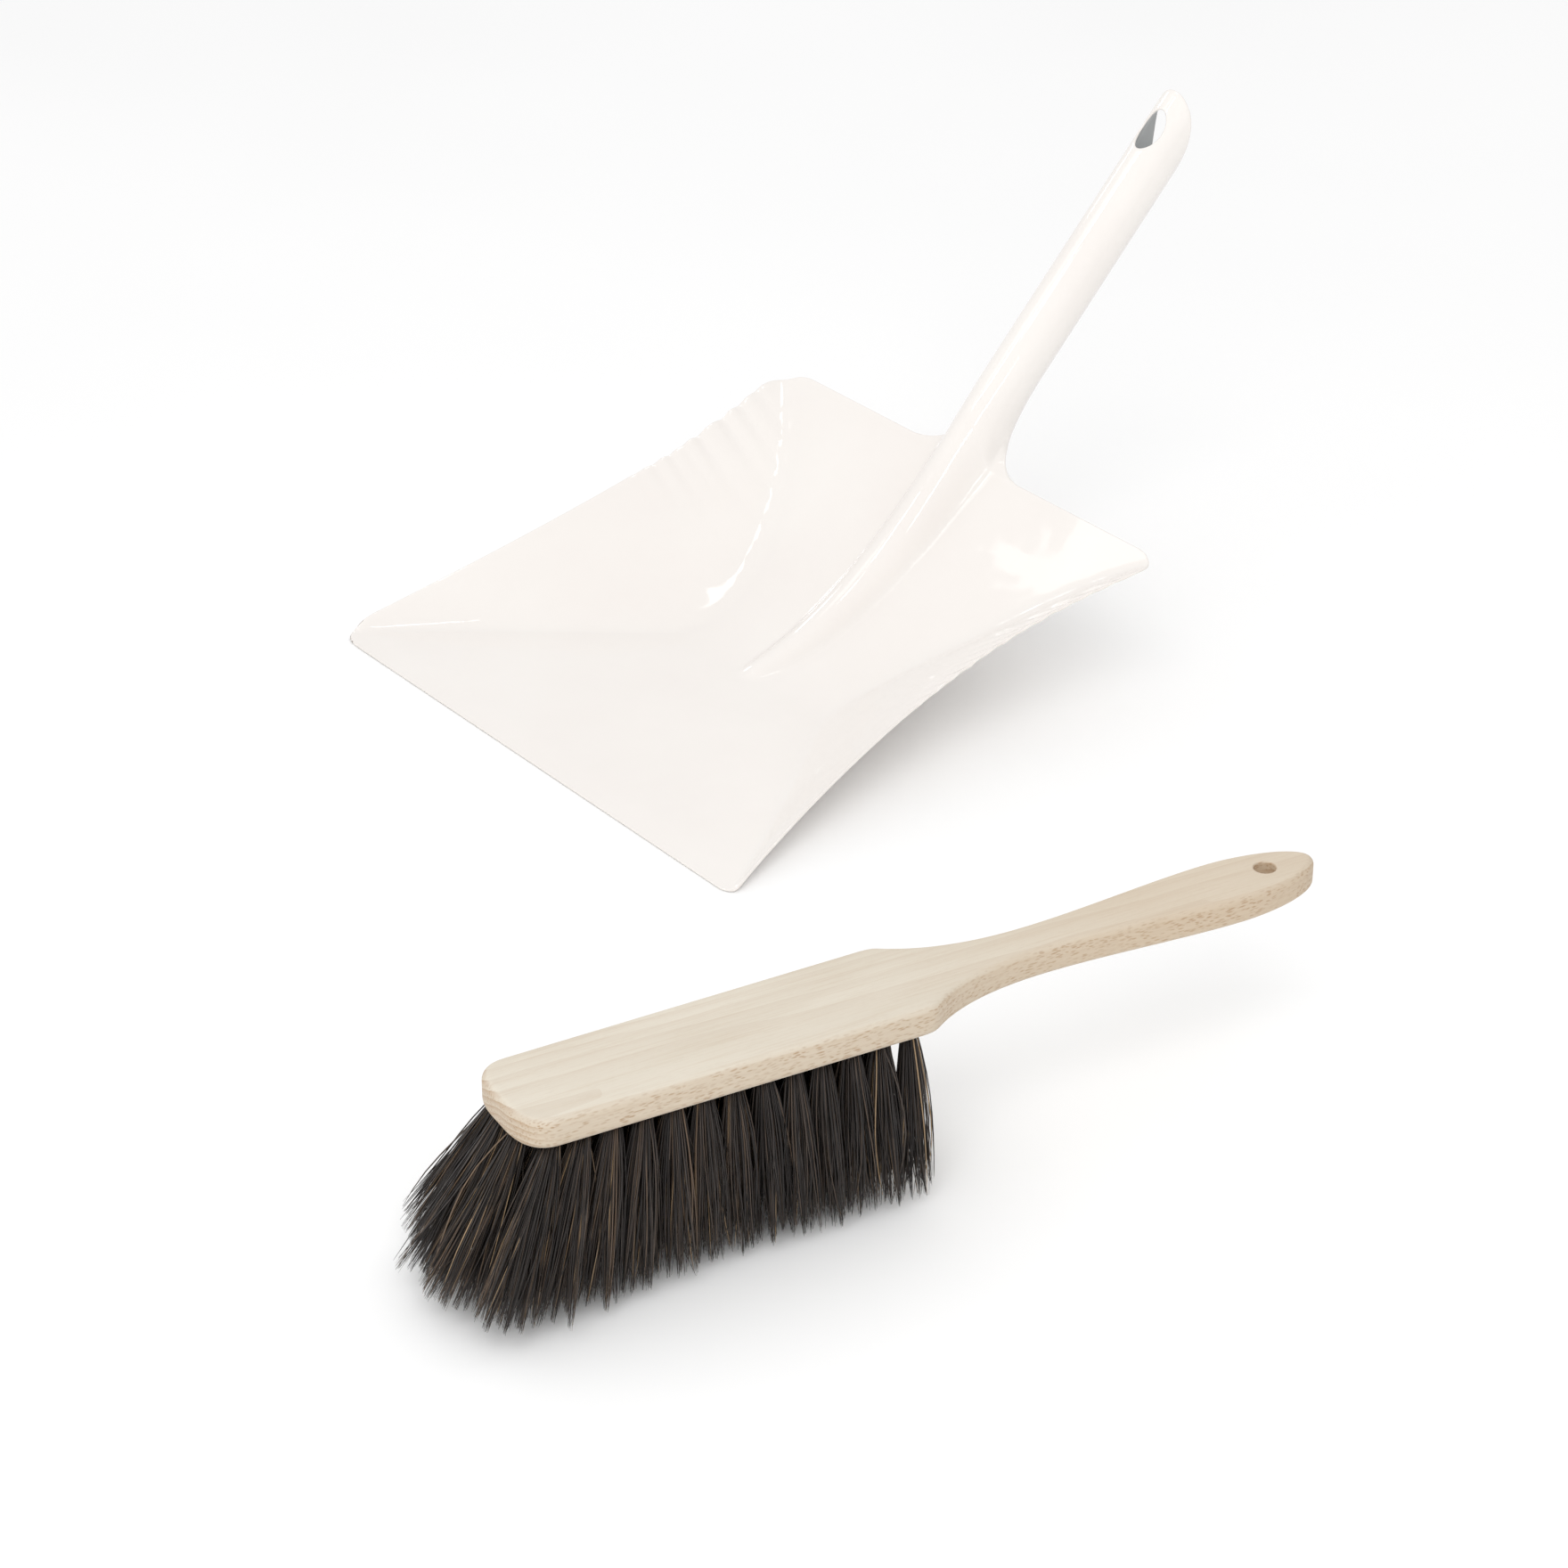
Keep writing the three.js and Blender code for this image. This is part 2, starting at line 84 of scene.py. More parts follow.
RIB_HEIGHT = ((105, 0), (109, 2.4), (120, 4), (140, 6.4), (171, 11), (190, 15), (PAN_DEPTH, 20.1))
RIB_HALF = ((105, 4), (109, 5.2), (120, 7), (140, 8.8), (171, 11), (PAN_DEPTH, 12.5))
RIB_ROUND = 0.8
LIP_LENGTH = 12.0  # the sweeping edge is bent down a little over this length
LIP_SLOPE = 0.05
LIP_ROUND = 2.0
DISH_Y = 90.0  # a shallow dish in front of the rib's nose
DISH_DEPTH = 0.45
DISH_SIZE = (24.0, 13.0)
TUBE_INNER = 9.7
TUBE_RISE = math.radians(46.7)
TUBE_START_Z = 68.0
TUBE_LENGTH = 162.7
TUBE_END_CUT = 48.0
TUBE_END_EASE = 2.1
TUBE_EVEN_TO = 100.0
SEAM_HALF_GAP = 0.6
ROLL_LENGTH = 40.0
ROLL_EASE = 2.2
TURN_LENGTH = 30.0
NECK_HALF = 26.0  # half width of the strip that is rolled into the handle
NECK_FILLET = 6.0
HANG_HOLE_HALF = (5.6, 9.4)
HANG_HOLE_FROM_TIP = 18.0

# ---- pan: creases and marks ----
# Small creases that the press leaves in the side walls: place along the edge and depth.
LEFT_CREASES = ((131, 0.5), (139, 1.4), (147, 1.9), (153.5, 1.4), (162, 2.0), (175.5, 2.0), (185.5, 1.5),
                (196, 0.9))
RIGHT_CREASES = ((104, 0.3), (113, 0.55), (121, 0.7), (129.5, 0.95), (138, 0.8), (147, 1.1), (155, 0.8),
                 (163, 1.05), (173, 0.95), (181, 0.8), (190, 0.7), (199, 0.4))
CREASE_WIDTH = 2.1
CREASE_WIDENING = 0.03  # per millimetre in from the sheet's side edge
CREASE_FADE = 20.0
CREASE_SLANT = 0.02
CHIPPED_CORNER = (5.0 - FRONT_HALF, 3.5)
CHIP_REACH = 7.0
BARE_FROM = 40.0  # the inside of the tube loses its enamel from here on, along the tube
BARE_LENGTH = 40.0

# ---- pan: mesh lines ----
NECK_COLUMNS = 30  # on each side of the middle
WING_COLUMNS = 58
FRONT_ROWS = 22
MIDDLE_ROWS = 132
BACK_ROWS = 30
FILLET_ROWS = 6
TUBE_EVEN_ROWS = 80
TUBE_END_ROWS = 46
SOFTEN_PASSES = 2
HANG_HOLE_BLOCK = (8, 6)  # rows and columns of cells that open on each side of the hang hole's middle
HANG_HOLE_REACH = 1.75  # how far the lines around the hole bend, in half blocks
HANG_HOLE_REACH_ACROSS = 1.6
HANG_HOLE_WIDEST_SINE = 0.99  # keeps the hole's points on the upper half of the tube
RIM_TURNS = (-50, 0, 50)  # degrees round the rim's half circle
JUNCTION_SOFT = 9.0  # length over which the bend between blade and neck is softened
JUNCTION_HALF = 60.0  # half width of the part that is softened
JUNCTION_PASSES = 14

# ---- brush: driving dimensions ----
BOARD_THICK = 10.5
BOARD_TOP = 69.7
BOARD_ROUND = 2.5
BOARD_START = 8.0
BOARD_END = 306.6
SHOULDER = 150.0
BLOCK_HALF_FRONT = 20.0
BLOCK_HALF = 21.0
GRIP_HALF = 8.1
PALM_HALF = 12.6
NOSE_FLAT_HALF = 4.0
SHOULDER_SOFT = 6.0
SHOULDER_PASSES = 5
GRIP_AT = 198.0
PALM_AT = 272.0
# Curves of one side of the board's outline, each four points of (along the brush, half width).
NOSE_CURVE = (
    (BOARD_START, NOSE_FLAT_HALF), (BOARD_START, 13),
    (BOARD_START + 3, BLOCK_HALF_FRONT), (BOARD_START + 12, BLOCK_HALF_FRONT),
)
SHOULDER_CURVE = (
    (SHOULDER, BLOCK_HALF), (SHOULDER + 8, 15), (GRIP_AT - 26, GRIP_HALF), (GRIP_AT, GRIP_HALF),
)
GRIP_CURVE = (
    (GRIP_AT, GRIP_HALF), (GRIP_AT + 24, GRIP_HALF), (PALM_AT - 22, PALM_HALF), (PALM_AT, PALM_HALF),
)
PALM_CURVE = (
    (PALM_AT, PALM_HALF), (PALM_AT + 16, PALM_HALF), (BOARD_END, 7.5), (BOARD_END, 0),
)
BOARD_HOLE_RADIUS = 3.7
BOARD_HOLE_ROUND = 0.7
BOARD_HOLE_AT = 288.0
TUFT_ROOT = 2.5
TUFT_PITCH = 10.35
TUFTS_PER_ROW = 13
ROWS = ((-15.3, 18.7), (-5.0, 13.5), (5.0, 13.5), (15.3, 18.7))  # place across, place of the first tuft
TUFT_TIP_HALF = (6.4, 6.8)
FRONT_TIP_GROWTH = 3.2
SIDE_SPREAD = 1.32
FRONT_SIDE_SPREAD = 0.5
FRONT_REACH = 27.0
FRONT_LEAN_END = 75.0
FRONT_LEAN_LENGTH = 62.0
FRONT_LEAN_EASE = 1.3
FIBRES_PER_TUFT = 170
FRONT_FIBRES_MORE = 130
CLUMPS_PER_TUFT = 16
SPREAD_EASE = 0.92
FRONT_SPREAD_EASE = 0.16
TUFT_LENGTH = 60.0
ROOT_DEPTH = 1.0  # how far inside the board the fibres start
TIP_LIFT = 0.6  # share of the height that a leaning fibre's tip gains over an upright one
SPIKE_LENGTH = 6.0  # how far a clump's outer fibres stop short of its middle ones
LOWEST_TIP = 0.3
LOWEST_POINT = 0.05

# ---- brush: how the single fibres lie ----
# Clumping, scatter, jitter and opening are shares of the tuft's half width, at the board or at the tips.
# Rise, bow, wave and radius are lengths.
GOLDEN_ANGLE = 2.399963
CLUMP_SCATTER = 0.1
CLUMP_RISE = 2.2  # how much the clumps differ in length
FIBRE_SCATTER = 0.3  # of the fibres round the middle of their clump
ROOT_CLUMPING = 0.62
ROOT_SCATTER = 0.9
TIP_CLUMPING = 0.98
TIP_SCATTER = 0.2
TIP_JITTER = 0.03
TIP_RISE = 0.6
MIDDLE_OPENING = 0.45  # how far the fibres stand apart half-way down
FRONT_MIDDLE_CLOSING = 0.3  # how much less they do so at the front
FIBRE_BOW = 0.55
FIBRE_WAVE = 0.28
STRAY_SHARE = 0.03  # this share of the fibres bows out more
STRAY_BOW = 6.0  # and this many times as much
FIBRE_RADIUS = 0.23
FIBRE_RADIUS_RANGE = (0.75, 1.25)
FIBRE_PROFILE = (0.95, 1.0, 1.0, 0.98, 0.92, 0.8, 0.58, 0.16)  # share of the radius, board to tip
FIBRE_SIDES = 4

# ---- brush: mesh lines ----
NOSE_FLAT_STEPS = 4
NOSE_STEPS = 26
BLOCK_STEPS = 60
HANDLE_STEPS = 34
PALM_STEPS = 30
EDGE_STEPS = 8
EDGE_BEYOND = 0.5  # the flat faces start this far past the rounded edge
HOLE_SIDES = 48
HOLE_EDGE_STEPS = 5
HOLE_EDGE_BEYOND = 0.4


def clamp01(value):
    return np.clip(value, 0.0, 1.0)


def smooth(value):
    value = clamp01(value)
    return value * value * (3 - 2 * value)


def along(table, position):
    """Smooth reading of a table of (position, value) pairs, without overshoot."""
    x = np.array([entry[0] for entry in table], float)
    y = np.array([entry[1] for entry in table], float)
    slope = np.diff(y) / np.diff(x)
    tangent = np.zeros_like(y)
    tangent[0], tangent[-1] = slope[0], slope[-1]
    for k in range(1, len(x) - 1):
        if slope[k - 1] * slope[k] > 0:
            tangent[k] = 2 * slope[k - 1] * slope[k] / (slope[k - 1] + slope[k])
    position = np.clip(position, x[0], x[-1])
    k = np.clip(np.searchsorted(x, position, side="right") - 1, 0, len(x) - 2)
    span = x[k + 1] - x[k]
    t = (position - x[k]) / span
    return (
        y[k] * (1 + 2 * t) * (1 - t) ** 2
        + span * tangent[k] * t * (1 - t) ** 2
        + y[k + 1] * t * t * (3 - 2 * t)
        + span * tangent[k + 1] * t * t * (t - 1)
    )


def rounded_max(a, b, radius):
    """The larger of two heights, with the crease between them rounded."""
    radius = np.maximum(radius, TINY)
    h = clamp01(0.5 + 0.5 * (a - b) / radius)
    return b + (a - b) * h + radius * h * (1 - h)


# ---- pan sheet ----
def half_width(y):
    """Half width of the sheet, before its corners are rounded."""
    front = (FRONT_HALF - WAIST_HALF) * clamp01(1 - y / WAIST_Y) ** FRONT_FLARE
    back = (BACK_HALF - WAIST_HALF) * clamp01((y - WAIST_Y) / (PAN_DEPTH - WAIST_Y)) ** BACK_FLARE
    return WAIST_HALF + front + back


def edge_height(y):
    """Height of the side walls' bowed top edge."""
    s = y / PAN_DEPTH
    return WALL_HEIGHT * ((1 + WALL_BOW) * s - WALL_BOW * s * s)


def press_creases(x, y, inward):
    """Depth of the small creases at points of the sheet that lie inward of its side edge."""
    depth = np.zeros_like(x)
    for side, creases in ((-1, LEFT_CREASES), (1, RIGHT_CREASES)):
        on_side = np.where(x * side > 0, 1.0, 0.0)
        for place, size in creases:
            centre = place + CREASE_SLANT * inward
            width = CREASE_WIDTH + CREASE_WIDENING * inward
            groove = np.exp(-(((y - centre) / width) ** 2))
            depth += on_side * size * groove * np.exp(-inward / CREASE_FADE)
    return depth


def sheet_height(x, y):
    """Height of the sheet's underside above the floor."""
    top = edge_height(y)
    turn = along(WALL_TURN, y)
    lean = np.tan(np.radians(along(WALL_LEAN, y)))
    wall_width = np.maximum(turn * top / lean, NARROWEST_WALL)
    inward = np.maximum(half_width(y) - np.abs(x), 0.0)
    side = top * clamp01(1 - inward / wall_width) ** turn
    back = WALL_HEIGHT * clamp01((y - FLOOR_FLAT) / (PAN_DEPTH - FLOOR_FLAT)) ** BACK_CURVE
    radius = np.minimum(CREASE_ROUND, CREASE_ROUND_SHARE * np.maximum(side, back))
    base = rounded_max(side, back, radius)
    across = clamp01(np.abs(x) / along(RIB_HALF, y))
    rib = np.where(y > RIB_NOSE_Y, along(RIB_HEIGHT, y), 0.0) * (1 - across**2) ** RIB_ROUND
    lip = LIP_SLOPE * (y - rounded_max(y - LIP_LENGTH, 0.0, LIP_ROUND))
    dish = DISH_DEPTH * np.exp(-((x / DISH_SIZE[0]) ** 2) - ((y - DISH_Y) / DISH_SIZE[1]) ** 2)
    return base + rib + lip - dish - press_creases(x, y, inward)


def corner_curve(t, end, corner, beside):
    """Half width on a rounded corner, from the sheet's end (t = 0) to where the side edge takes over."""
    return (1 - t) ** 2 * (end - corner) + 2 * t * (1 - t) * end + t * t * beside


def side_half(y, side):
    """Half width of one side (0 left, 1 right) with its corners rounded."""
    front, back = FRONT_CORNERS[side], BACK_CORNERS[side]
    if y < front:
        return corner_curve(math.sqrt(y / front), FRONT_HALF, front, float(half_width(np.array(front))))
    if y > PAN_DEPTH - back:
        t = math.sqrt((PAN_DEPTH - y) / back)
        return corner_curve(t, BACK_HALF, back, float(half_width(np.array(PAN_DEPTH - back))))
    return float(half_width(np.array(y)))


def blade_rows():
    """Places of the blade's rows, closer together at the rounded corners."""
    front = max(FRONT_CORNERS) * (np.arange(FRONT_ROWS + 1) / FRONT_ROWS) ** 2
    back = PAN_DEPTH - max(BACK_CORNERS) * (np.arange(BACK_ROWS, -1, -1) / BACK_ROWS) ** 2
    middle = np.linspace(front[-1], back[0], MIDDLE_ROWS)[1:-1]
    return np.concatenate([front, middle, back])


def soften(height, rows, passes):
    """Rounds the creases of a grid of heights, keeping its outer lines and its even slopes."""
    gap = np.diff(rows)
    ahead = (gap[:-1] / (gap[:-1] + gap[1:]))[:, None]
    for _ in range(passes):
        inner = height.copy()
        inner[1:-1] += RELAX_STEP * (ahead * height[2:] + (1 - ahead) * height[:-2] - height[1:-1])
        height = inner.copy()
        height[:, 1:-1] = 0.25 * inner[:, :-2] + 0.5 * inner[:, 1:-1] + 0.25 * inner[:, 2:]
    return height


def strip_end(angle):
    """Where the slanted end of the tube is, for an angle round the tube from its top."""
    return TUBE_LENGTH - TUBE_END_CUT * np.abs(angle / math.pi) ** TUBE_END_EASE


def neck_point(s, x, height, angle):
    """A point of the strip at distance s beyond the back edge, as the strip rolls into a tube."""
    closed = 1 - (1 - clamp01(s / ROLL_LENGTH)) ** ROLL_EASE
    tilt = TUBE_RISE * smooth(s / TURN_LENGTH)
    stretch = 1 / np.cos(TUBE_RISE - tilt)
    open_h = (height - TUBE_START_Z) * math.cos(TUBE_RISE) * stretch
    round_x = TUBE_INNER * np.sin(angle)
    round_h = TUBE_INNER * np.cos(angle) * stretch
    px = x + (round_x - x) * closed
    h = open_h + (round_h - open_h) * closed
    py = PAN_DEPTH + s * math.cos(TUBE_RISE) - h * np.sin(tilt)
    pz = TUBE_START_Z + s * math.sin(TUBE_RISE) + h * np.cos(tilt)
    return np.stack([px, py, pz], -1)


def blade_grid():
    """Underside points of the blade, in rows from the sweeping edge to the back edge."""
    rows = blade_rows()
    sides = []
    for side in (0, 1):
        half = np.array([side_half(place, side) for place in rows])
        neck_share = (NECK_HALF + NECK_FILLET) / half[-1]
        share = np.concatenate([
            np.linspace(0, neck_share, NECK_COLUMNS + 1),
            neck_share + (1 - neck_share) * np.linspace(0, 1, WING_COLUMNS + 1)[1:],
        ])
        sides.append(half[:, None] * share[None, :])
    x = np.concatenate([-sides[0][:, :0:-1], sides[1]], axis=1)
    y = rows[:, None] * np.ones_like(x)
    z = soften(sheet_height(x, y), rows, SOFTEN_PASSES)
    return np.stack([x, y, z], -1)


def pan_grid():
    """Underside points of the blade and the tube, and which columns and cells join or open them."""
    blade = blade_grid()
    first = WING_COLUMNS
    neck = slice(first, first + 2 * NECK_COLUMNS + 1)
    start = blade[-1, neck]
    length = np.concatenate([[0], np.cumsum(np.linalg.norm(np.diff(start, axis=0), axis=1))])
    length -= length[NECK_COLUMNS]
    half_length = np.interp(NECK_HALF, start[:, 0], length)
    limit = math.pi - SEAM_HALF_GAP / TUBE_INNER
    fillet_s = NECK_FILLET * (1 - np.cos(np.linspace(0, math.pi / 2, FILLET_ROWS + 1)))[1:]
    flat_s = np.concatenate([fillet_s, np.linspace(NECK_FILLET, TUBE_EVEN_TO, TUBE_EVEN_ROWS)[1:]])
    tube = []
    for s in flat_s:
        reach = clamp01(1 - s / NECK_FILLET)
        wide = NECK_HALF + NECK_FILLET * (1 - math.sqrt(1 - reach * reach))
        xs = start[:, 0] * wide / (NECK_HALF + NECK_FILLET)
        angle = np.interp(xs, start[:, 0], length) / half_length * limit
        tube.append(neck_point(s, xs, np.interp(xs, start[:, 0], start[:, 2]), angle))
    xs = start[:, 0] * NECK_HALF / (NECK_HALF + NECK_FILLET)
    angle = np.interp(xs, start[:, 0], length) / half_length * limit
    share = np.arange(1, TUBE_END_ROWS + 1)[:, None] / TUBE_END_ROWS
    end_s = TUBE_EVEN_TO + (strip_end(angle)[None, :] - TUBE_EVEN_TO) * share
    end_a = np.repeat(angle[None, :], TUBE_END_ROWS, 0)
    hole_middle = open_hang_hole(end_s, end_a)
    heights = np.interp(xs, start[:, 0], start[:, 2])
    for k in range(TUBE_END_ROWS):
        tube.append(neck_point(end_s[k], xs, heights, end_a[k]))
    return blade, np.array(tube), neck, hole_middle, len(flat_s)


def open_hang_hole(s, a):
    """Bends the tube's grid lines round the oval hang hole. Returns the row and column of its middle."""
    centre_s = TUBE_LENGTH - HANG_HOLE_FROM_TIP
    mid_column = s.shape[1] // 2
    mid_row = int(np.argmin(np.abs(s[:, mid_column] - centre_s)))
    for i in range(s.shape[0]):
        for j in range(s.shape[1]):
            q, p = (i - mid_row) / HANG_HOLE_BLOCK[0], (j - mid_column) / HANG_HOLE_BLOCK[1]
            m = max(abs(p), abs(q))
            if m == 0 or m > HANG_HOLE_REACH or abs(p) > HANG_HOLE_REACH_ACROSS:
                continue
            size = math.hypot(p, q)
            across = HANG_HOLE_HALF[0] * m * p / size
            up = HANG_HOLE_HALF[1] * m * q / size
            keep = float(smooth((m - 1) / (HANG_HOLE_REACH - 1)))
            old_across = TUBE_INNER * math.sin(a[i, j])
            new_across = across + (old_across - across) * keep
            sine = new_across / TUBE_INNER
            a[i, j] = math.asin(max(-HANG_HOLE_WIDEST_SINE, min(HANG_HOLE_WIDEST_SINE, sine)))
            s[i, j] = centre_s + up + (s[i, j] - centre_s - up) * keep
    return mid_row, mid_column


def directed_edges(quads):
    """The edges of four-sided faces as (from, to), going round each face."""
    return [(int(quad[k]), int(quad[(k + 1) % 4])) for quad in quads for k in range(4)]


def border_of(quads):
    """For each point on a border, the point that follows it there."""
    directed = directed_edges(quads)
    known = set(directed)
    return {a: b for a, b in directed if (b, a) not in known}


def sheet_quads():
    """Underside points and four-sided faces of the whole sheet, open at the hang hole."""
    blade, tube, neck, (hole_row, hole_column), flat_rows = pan_grid()
    rows, columns = blade.shape[:2]
    ids = np.arange(rows * columns).reshape(rows, columns)
    quads = []
    for i in range(rows - 1):
        for j in range(columns - 1):
            quads.append((ids[i, j], ids[i, j + 1], ids[i + 1, j + 1], ids[i + 1, j]))
    tube_ids = rows * columns + np.arange(tube.shape[0] * tube.shape[1]).reshape(tube.shape[:2])
    strip = np.vstack([ids[-1:, neck], tube_ids])
    hole_row += flat_rows + 1
    for i in range(strip.shape[0] - 1):
        for j in range(strip.shape[1] - 1):
            in_rows = hole_row - HANG_HOLE_BLOCK[0] <= i < hole_row + HANG_HOLE_BLOCK[0]
            in_columns = hole_column - HANG_HOLE_BLOCK[1] <= j < hole_column + HANG_HOLE_BLOCK[1]
            if in_rows and in_columns:
                continue
            quads.append((strip[i, j], strip[i, j + 1], strip[i + 1, j + 1], strip[i + 1, j]))
    under = np.concatenate([blade.reshape(-1, 3), tube.reshape(-1, 3)])
    quads = np.array(quads)
    used = np.unique(quads)
    remap = np.full(len(under), -1)
    remap[used] = np.arange(len(used))
    return under[used], remap[quads]


def sheet_mesh():
    """The sheet as points, faces and marks: two skins joined by a rounded rim."""
    under, quads = sheet_quads()
    under = relax_junction(under, quads)

    normals = np.zeros_like(under)
    diagonal = np.cross(under[quads[:, 2]] - under[quads[:, 0]], under[quads[:, 3]] - under[quads[:, 1]])
    for k in range(4):
        np.add.at(normals, quads[:, k], diagonal)
    normals /= np.linalg.norm(normals, axis=1)[:, None]

    border = border_of(quads)
    before = {b: a for a, b in border.items()}
    count = len(under)
    border_ids = np.array(sorted(border))
    ahead = under[[border[i] for i in border_ids]]
    behind = under[[before[i] for i in border_ids]]
    tangent = ahead - behind
    outward = np.cross(tangent, normals[border_ids])
    outward /= np.linalg.norm(outward, axis=1)[:, None]
    half = SHEET / 2
    middle = under[border_ids] + half * normals[border_ids]
    rim_rings = []
    for degrees in RIM_TURNS:
        turn = math.radians(degrees)
        rim_rings.append(middle + half * (math.cos(turn) * outward + math.sin(turn) * normals[border_ids]))
    all_points = np.concatenate([under, under + SHEET * normals] + rim_rings)
    order = {int(i): k for k, i in enumerate(border_ids)}
    levels = len(RIM_TURNS) + 1

    def ring_id(level, vertex):
        if level == 0:
            return vertex
        if level == levels:
            return vertex + count
        return 2 * count + (level - 1) * len(border_ids) + order[vertex]

    faces = [tuple(int(v) for v in quad[::-1]) for quad in quads]
    faces += [tuple(int(v) + count for v in quad) for quad in quads]
    for a, b in border.items():
        for level in range(levels):
            faces.append((ring_id(level, a), ring_id(level, b), ring_id(level + 1, b), ring_id(level + 1, a)))
    rim = np.zeros(len(all_points))
    rim[2 * count:] = 1.0
    from_corner = np.linalg.norm(all_points[:, :2] - np.array(CHIPPED_CORNER), axis=1)
    chip = np.where(from_corner < CHIP_REACH, 1.0, 0.0) * rim
    bare = np.zeros(len(all_points))
    up = (under[:, 1] - PAN_DEPTH) * math.cos(TUBE_RISE) + (under[:, 2] - TUBE_START_Z) * math.sin(TUBE_RISE)
    bare[:count] = smooth((up - BARE_FROM) / BARE_LENGTH)
    return all_points, faces, {"rim": rim, "chip": chip, "bare": bare}


def relax_junction(points, quads):
    """Softens the bend between the blade and the neck, away from the sheet's outer edge."""
    pairs = np.array(list(dict.fromkeys((min(a, b), max(a, b)) for a, b in directed_edges(quads))))
    near = np.abs(points[:, 0]) < JUNCTION_HALF
    weight = near * np.exp(-(((points[:, 1] - PAN_DEPTH) / JUNCTION_SOFT) ** 2))
    weight[list(border_of(quads))] = 0
    degree = np.zeros(len(points))
    np.add.at(degree, pairs[:, 0], 1)
    np.add.at(degree, pairs[:, 1], 1)
    for _ in range(JUNCTION_PASSES):
        total = np.zeros_like(points)
        np.add.at(total, pairs[:, 0], points[pairs[:, 1]])
        np.add.at(total, pairs[:, 1], points[pairs[:, 0]])
        points = points + (total / degree[:, None] - points) * (RELAX_STEP * weight)[:, None]
    return points


def new_object(name, points, faces, matrix):
    """An object of points in millimetres and faces, turned into the frame by the matrix."""
    mesh = bpy.data.meshes.new(name)
    mesh.from_pydata([tuple(p) for p in np.asarray(points) * MM], [], faces)
    mesh.validate()
    mesh.polygons.foreach_set("use_smooth", [True] * len(mesh.polygons))
    return put_in_scene(name, mesh, matrix)


def put_in_scene(name, mesh, matrix):
    """Makes the object, keeps each point's own place as an attribute and turns the mesh into the frame."""
    places = np.zeros(len(mesh.vertices) * 3, np.float32)
    mesh.vertices.foreach_get("co", places)
    own = mesh.attributes.new("own_place", "FLOAT_VECTOR", "POINT")
    own.data.foreach_set("vector", places)
    mesh.transform(matrix)
    mesh.update()
    piece = bpy.data.objects.new(name, mesh)
    bpy.context.scene.collection.objects.link(piece)
    return piece


def set_attribute(piece, name, values):
    layer = piece.data.attributes.new(name, "FLOAT", "POINT")
    layer.data.foreach_set("value", np.asarray(values, np.float32))


# ---- brush board ----
def bezier(p0, p1, p2, p3, steps):
    """Points along a cubic Bezier curve."""
    t = np.linspace(0, 1, steps + 1)[:, None]
    p0, p1, p2, p3 = (np.array(p, float) for p in (p0, p1, p2, p3))
    return (1 - t) ** 3 * p0 + 3 * t * (1 - t) ** 2 * p1 + 3 * t * t * (1 - t) * p2 + t**3 * p3


def straight(p0, p1, steps):
    t = np.linspace(0, 1, steps + 1)[:, None]
    return (1 - t) * np.array(p0, float) + t * np.array(p1, float)


def board_outline():
    """The board seen from above, once round."""
    side = [
        straight((BOARD_START, 0), NOSE_CURVE[0], NOSE_FLAT_STEPS),
        bezier(*NOSE_CURVE, NOSE_STEPS),
        straight(NOSE_CURVE[-1], SHOULDER_CURVE[0], BLOCK_STEPS),
        bezier(*SHOULDER_CURVE, HANDLE_STEPS),
        bezier(*GRIP_CURVE, HANDLE_STEPS),
        bezier(*PALM_CURVE, PALM_STEPS),
    ]
    half = np.concatenate([side[0]] + [part[1:] for part in side[1:]])
    at_shoulder = np.exp(-(((half[:, 0] - SHOULDER) / SHOULDER_SOFT) ** 2))[1:-1, None]
    for _ in range(SHOULDER_PASSES):
        middle = (half[:-2] + half[2:]) / 2
        half[1:-1] += RELAX_STEP * at_shoulder * (middle - half[1:-1])
    mirrored = half[1:-1][::-1] * np.array([1, -1])
    return np.concatenate([half, mirrored])


def inset(outline, distance):
    """The outline moved inwards by a distance."""
    tangent = np.roll(outline, -1, 0) - np.roll(outline, 1, 0)
    tangent /= np.linalg.norm(tangent, axis=1)[:, None]
    outward = np.stack([-tangent[:, 1], tangent[:, 0]], -1)
    middle = outline.mean(0)
    if ((outline[0] - middle) * outward[0]).sum() < 0:
        outward = -outward
    return outline - distance * outward


def edge_rings(rounding, steps, beyond):
    """Rings of (distance from the wall, height) from the lower face round the edges to the upper face."""
    bottom = BOARD_TOP - BOARD_THICK
    quarter = [
        (rounding * (1 - math.sin(angle)), rounding * (1 - math.cos(angle)))
        for angle in np.linspace(0, math.pi / 2, steps + 1)
    ]
    lower = [(away, bottom + rise) for away, rise in quarter]
    upper = [(away, BOARD_TOP - rise) for away, rise in quarter[::-1]]
    return [(rounding + beyond, bottom), *lower, *upper, (rounding + beyond, BOARD_TOP)]


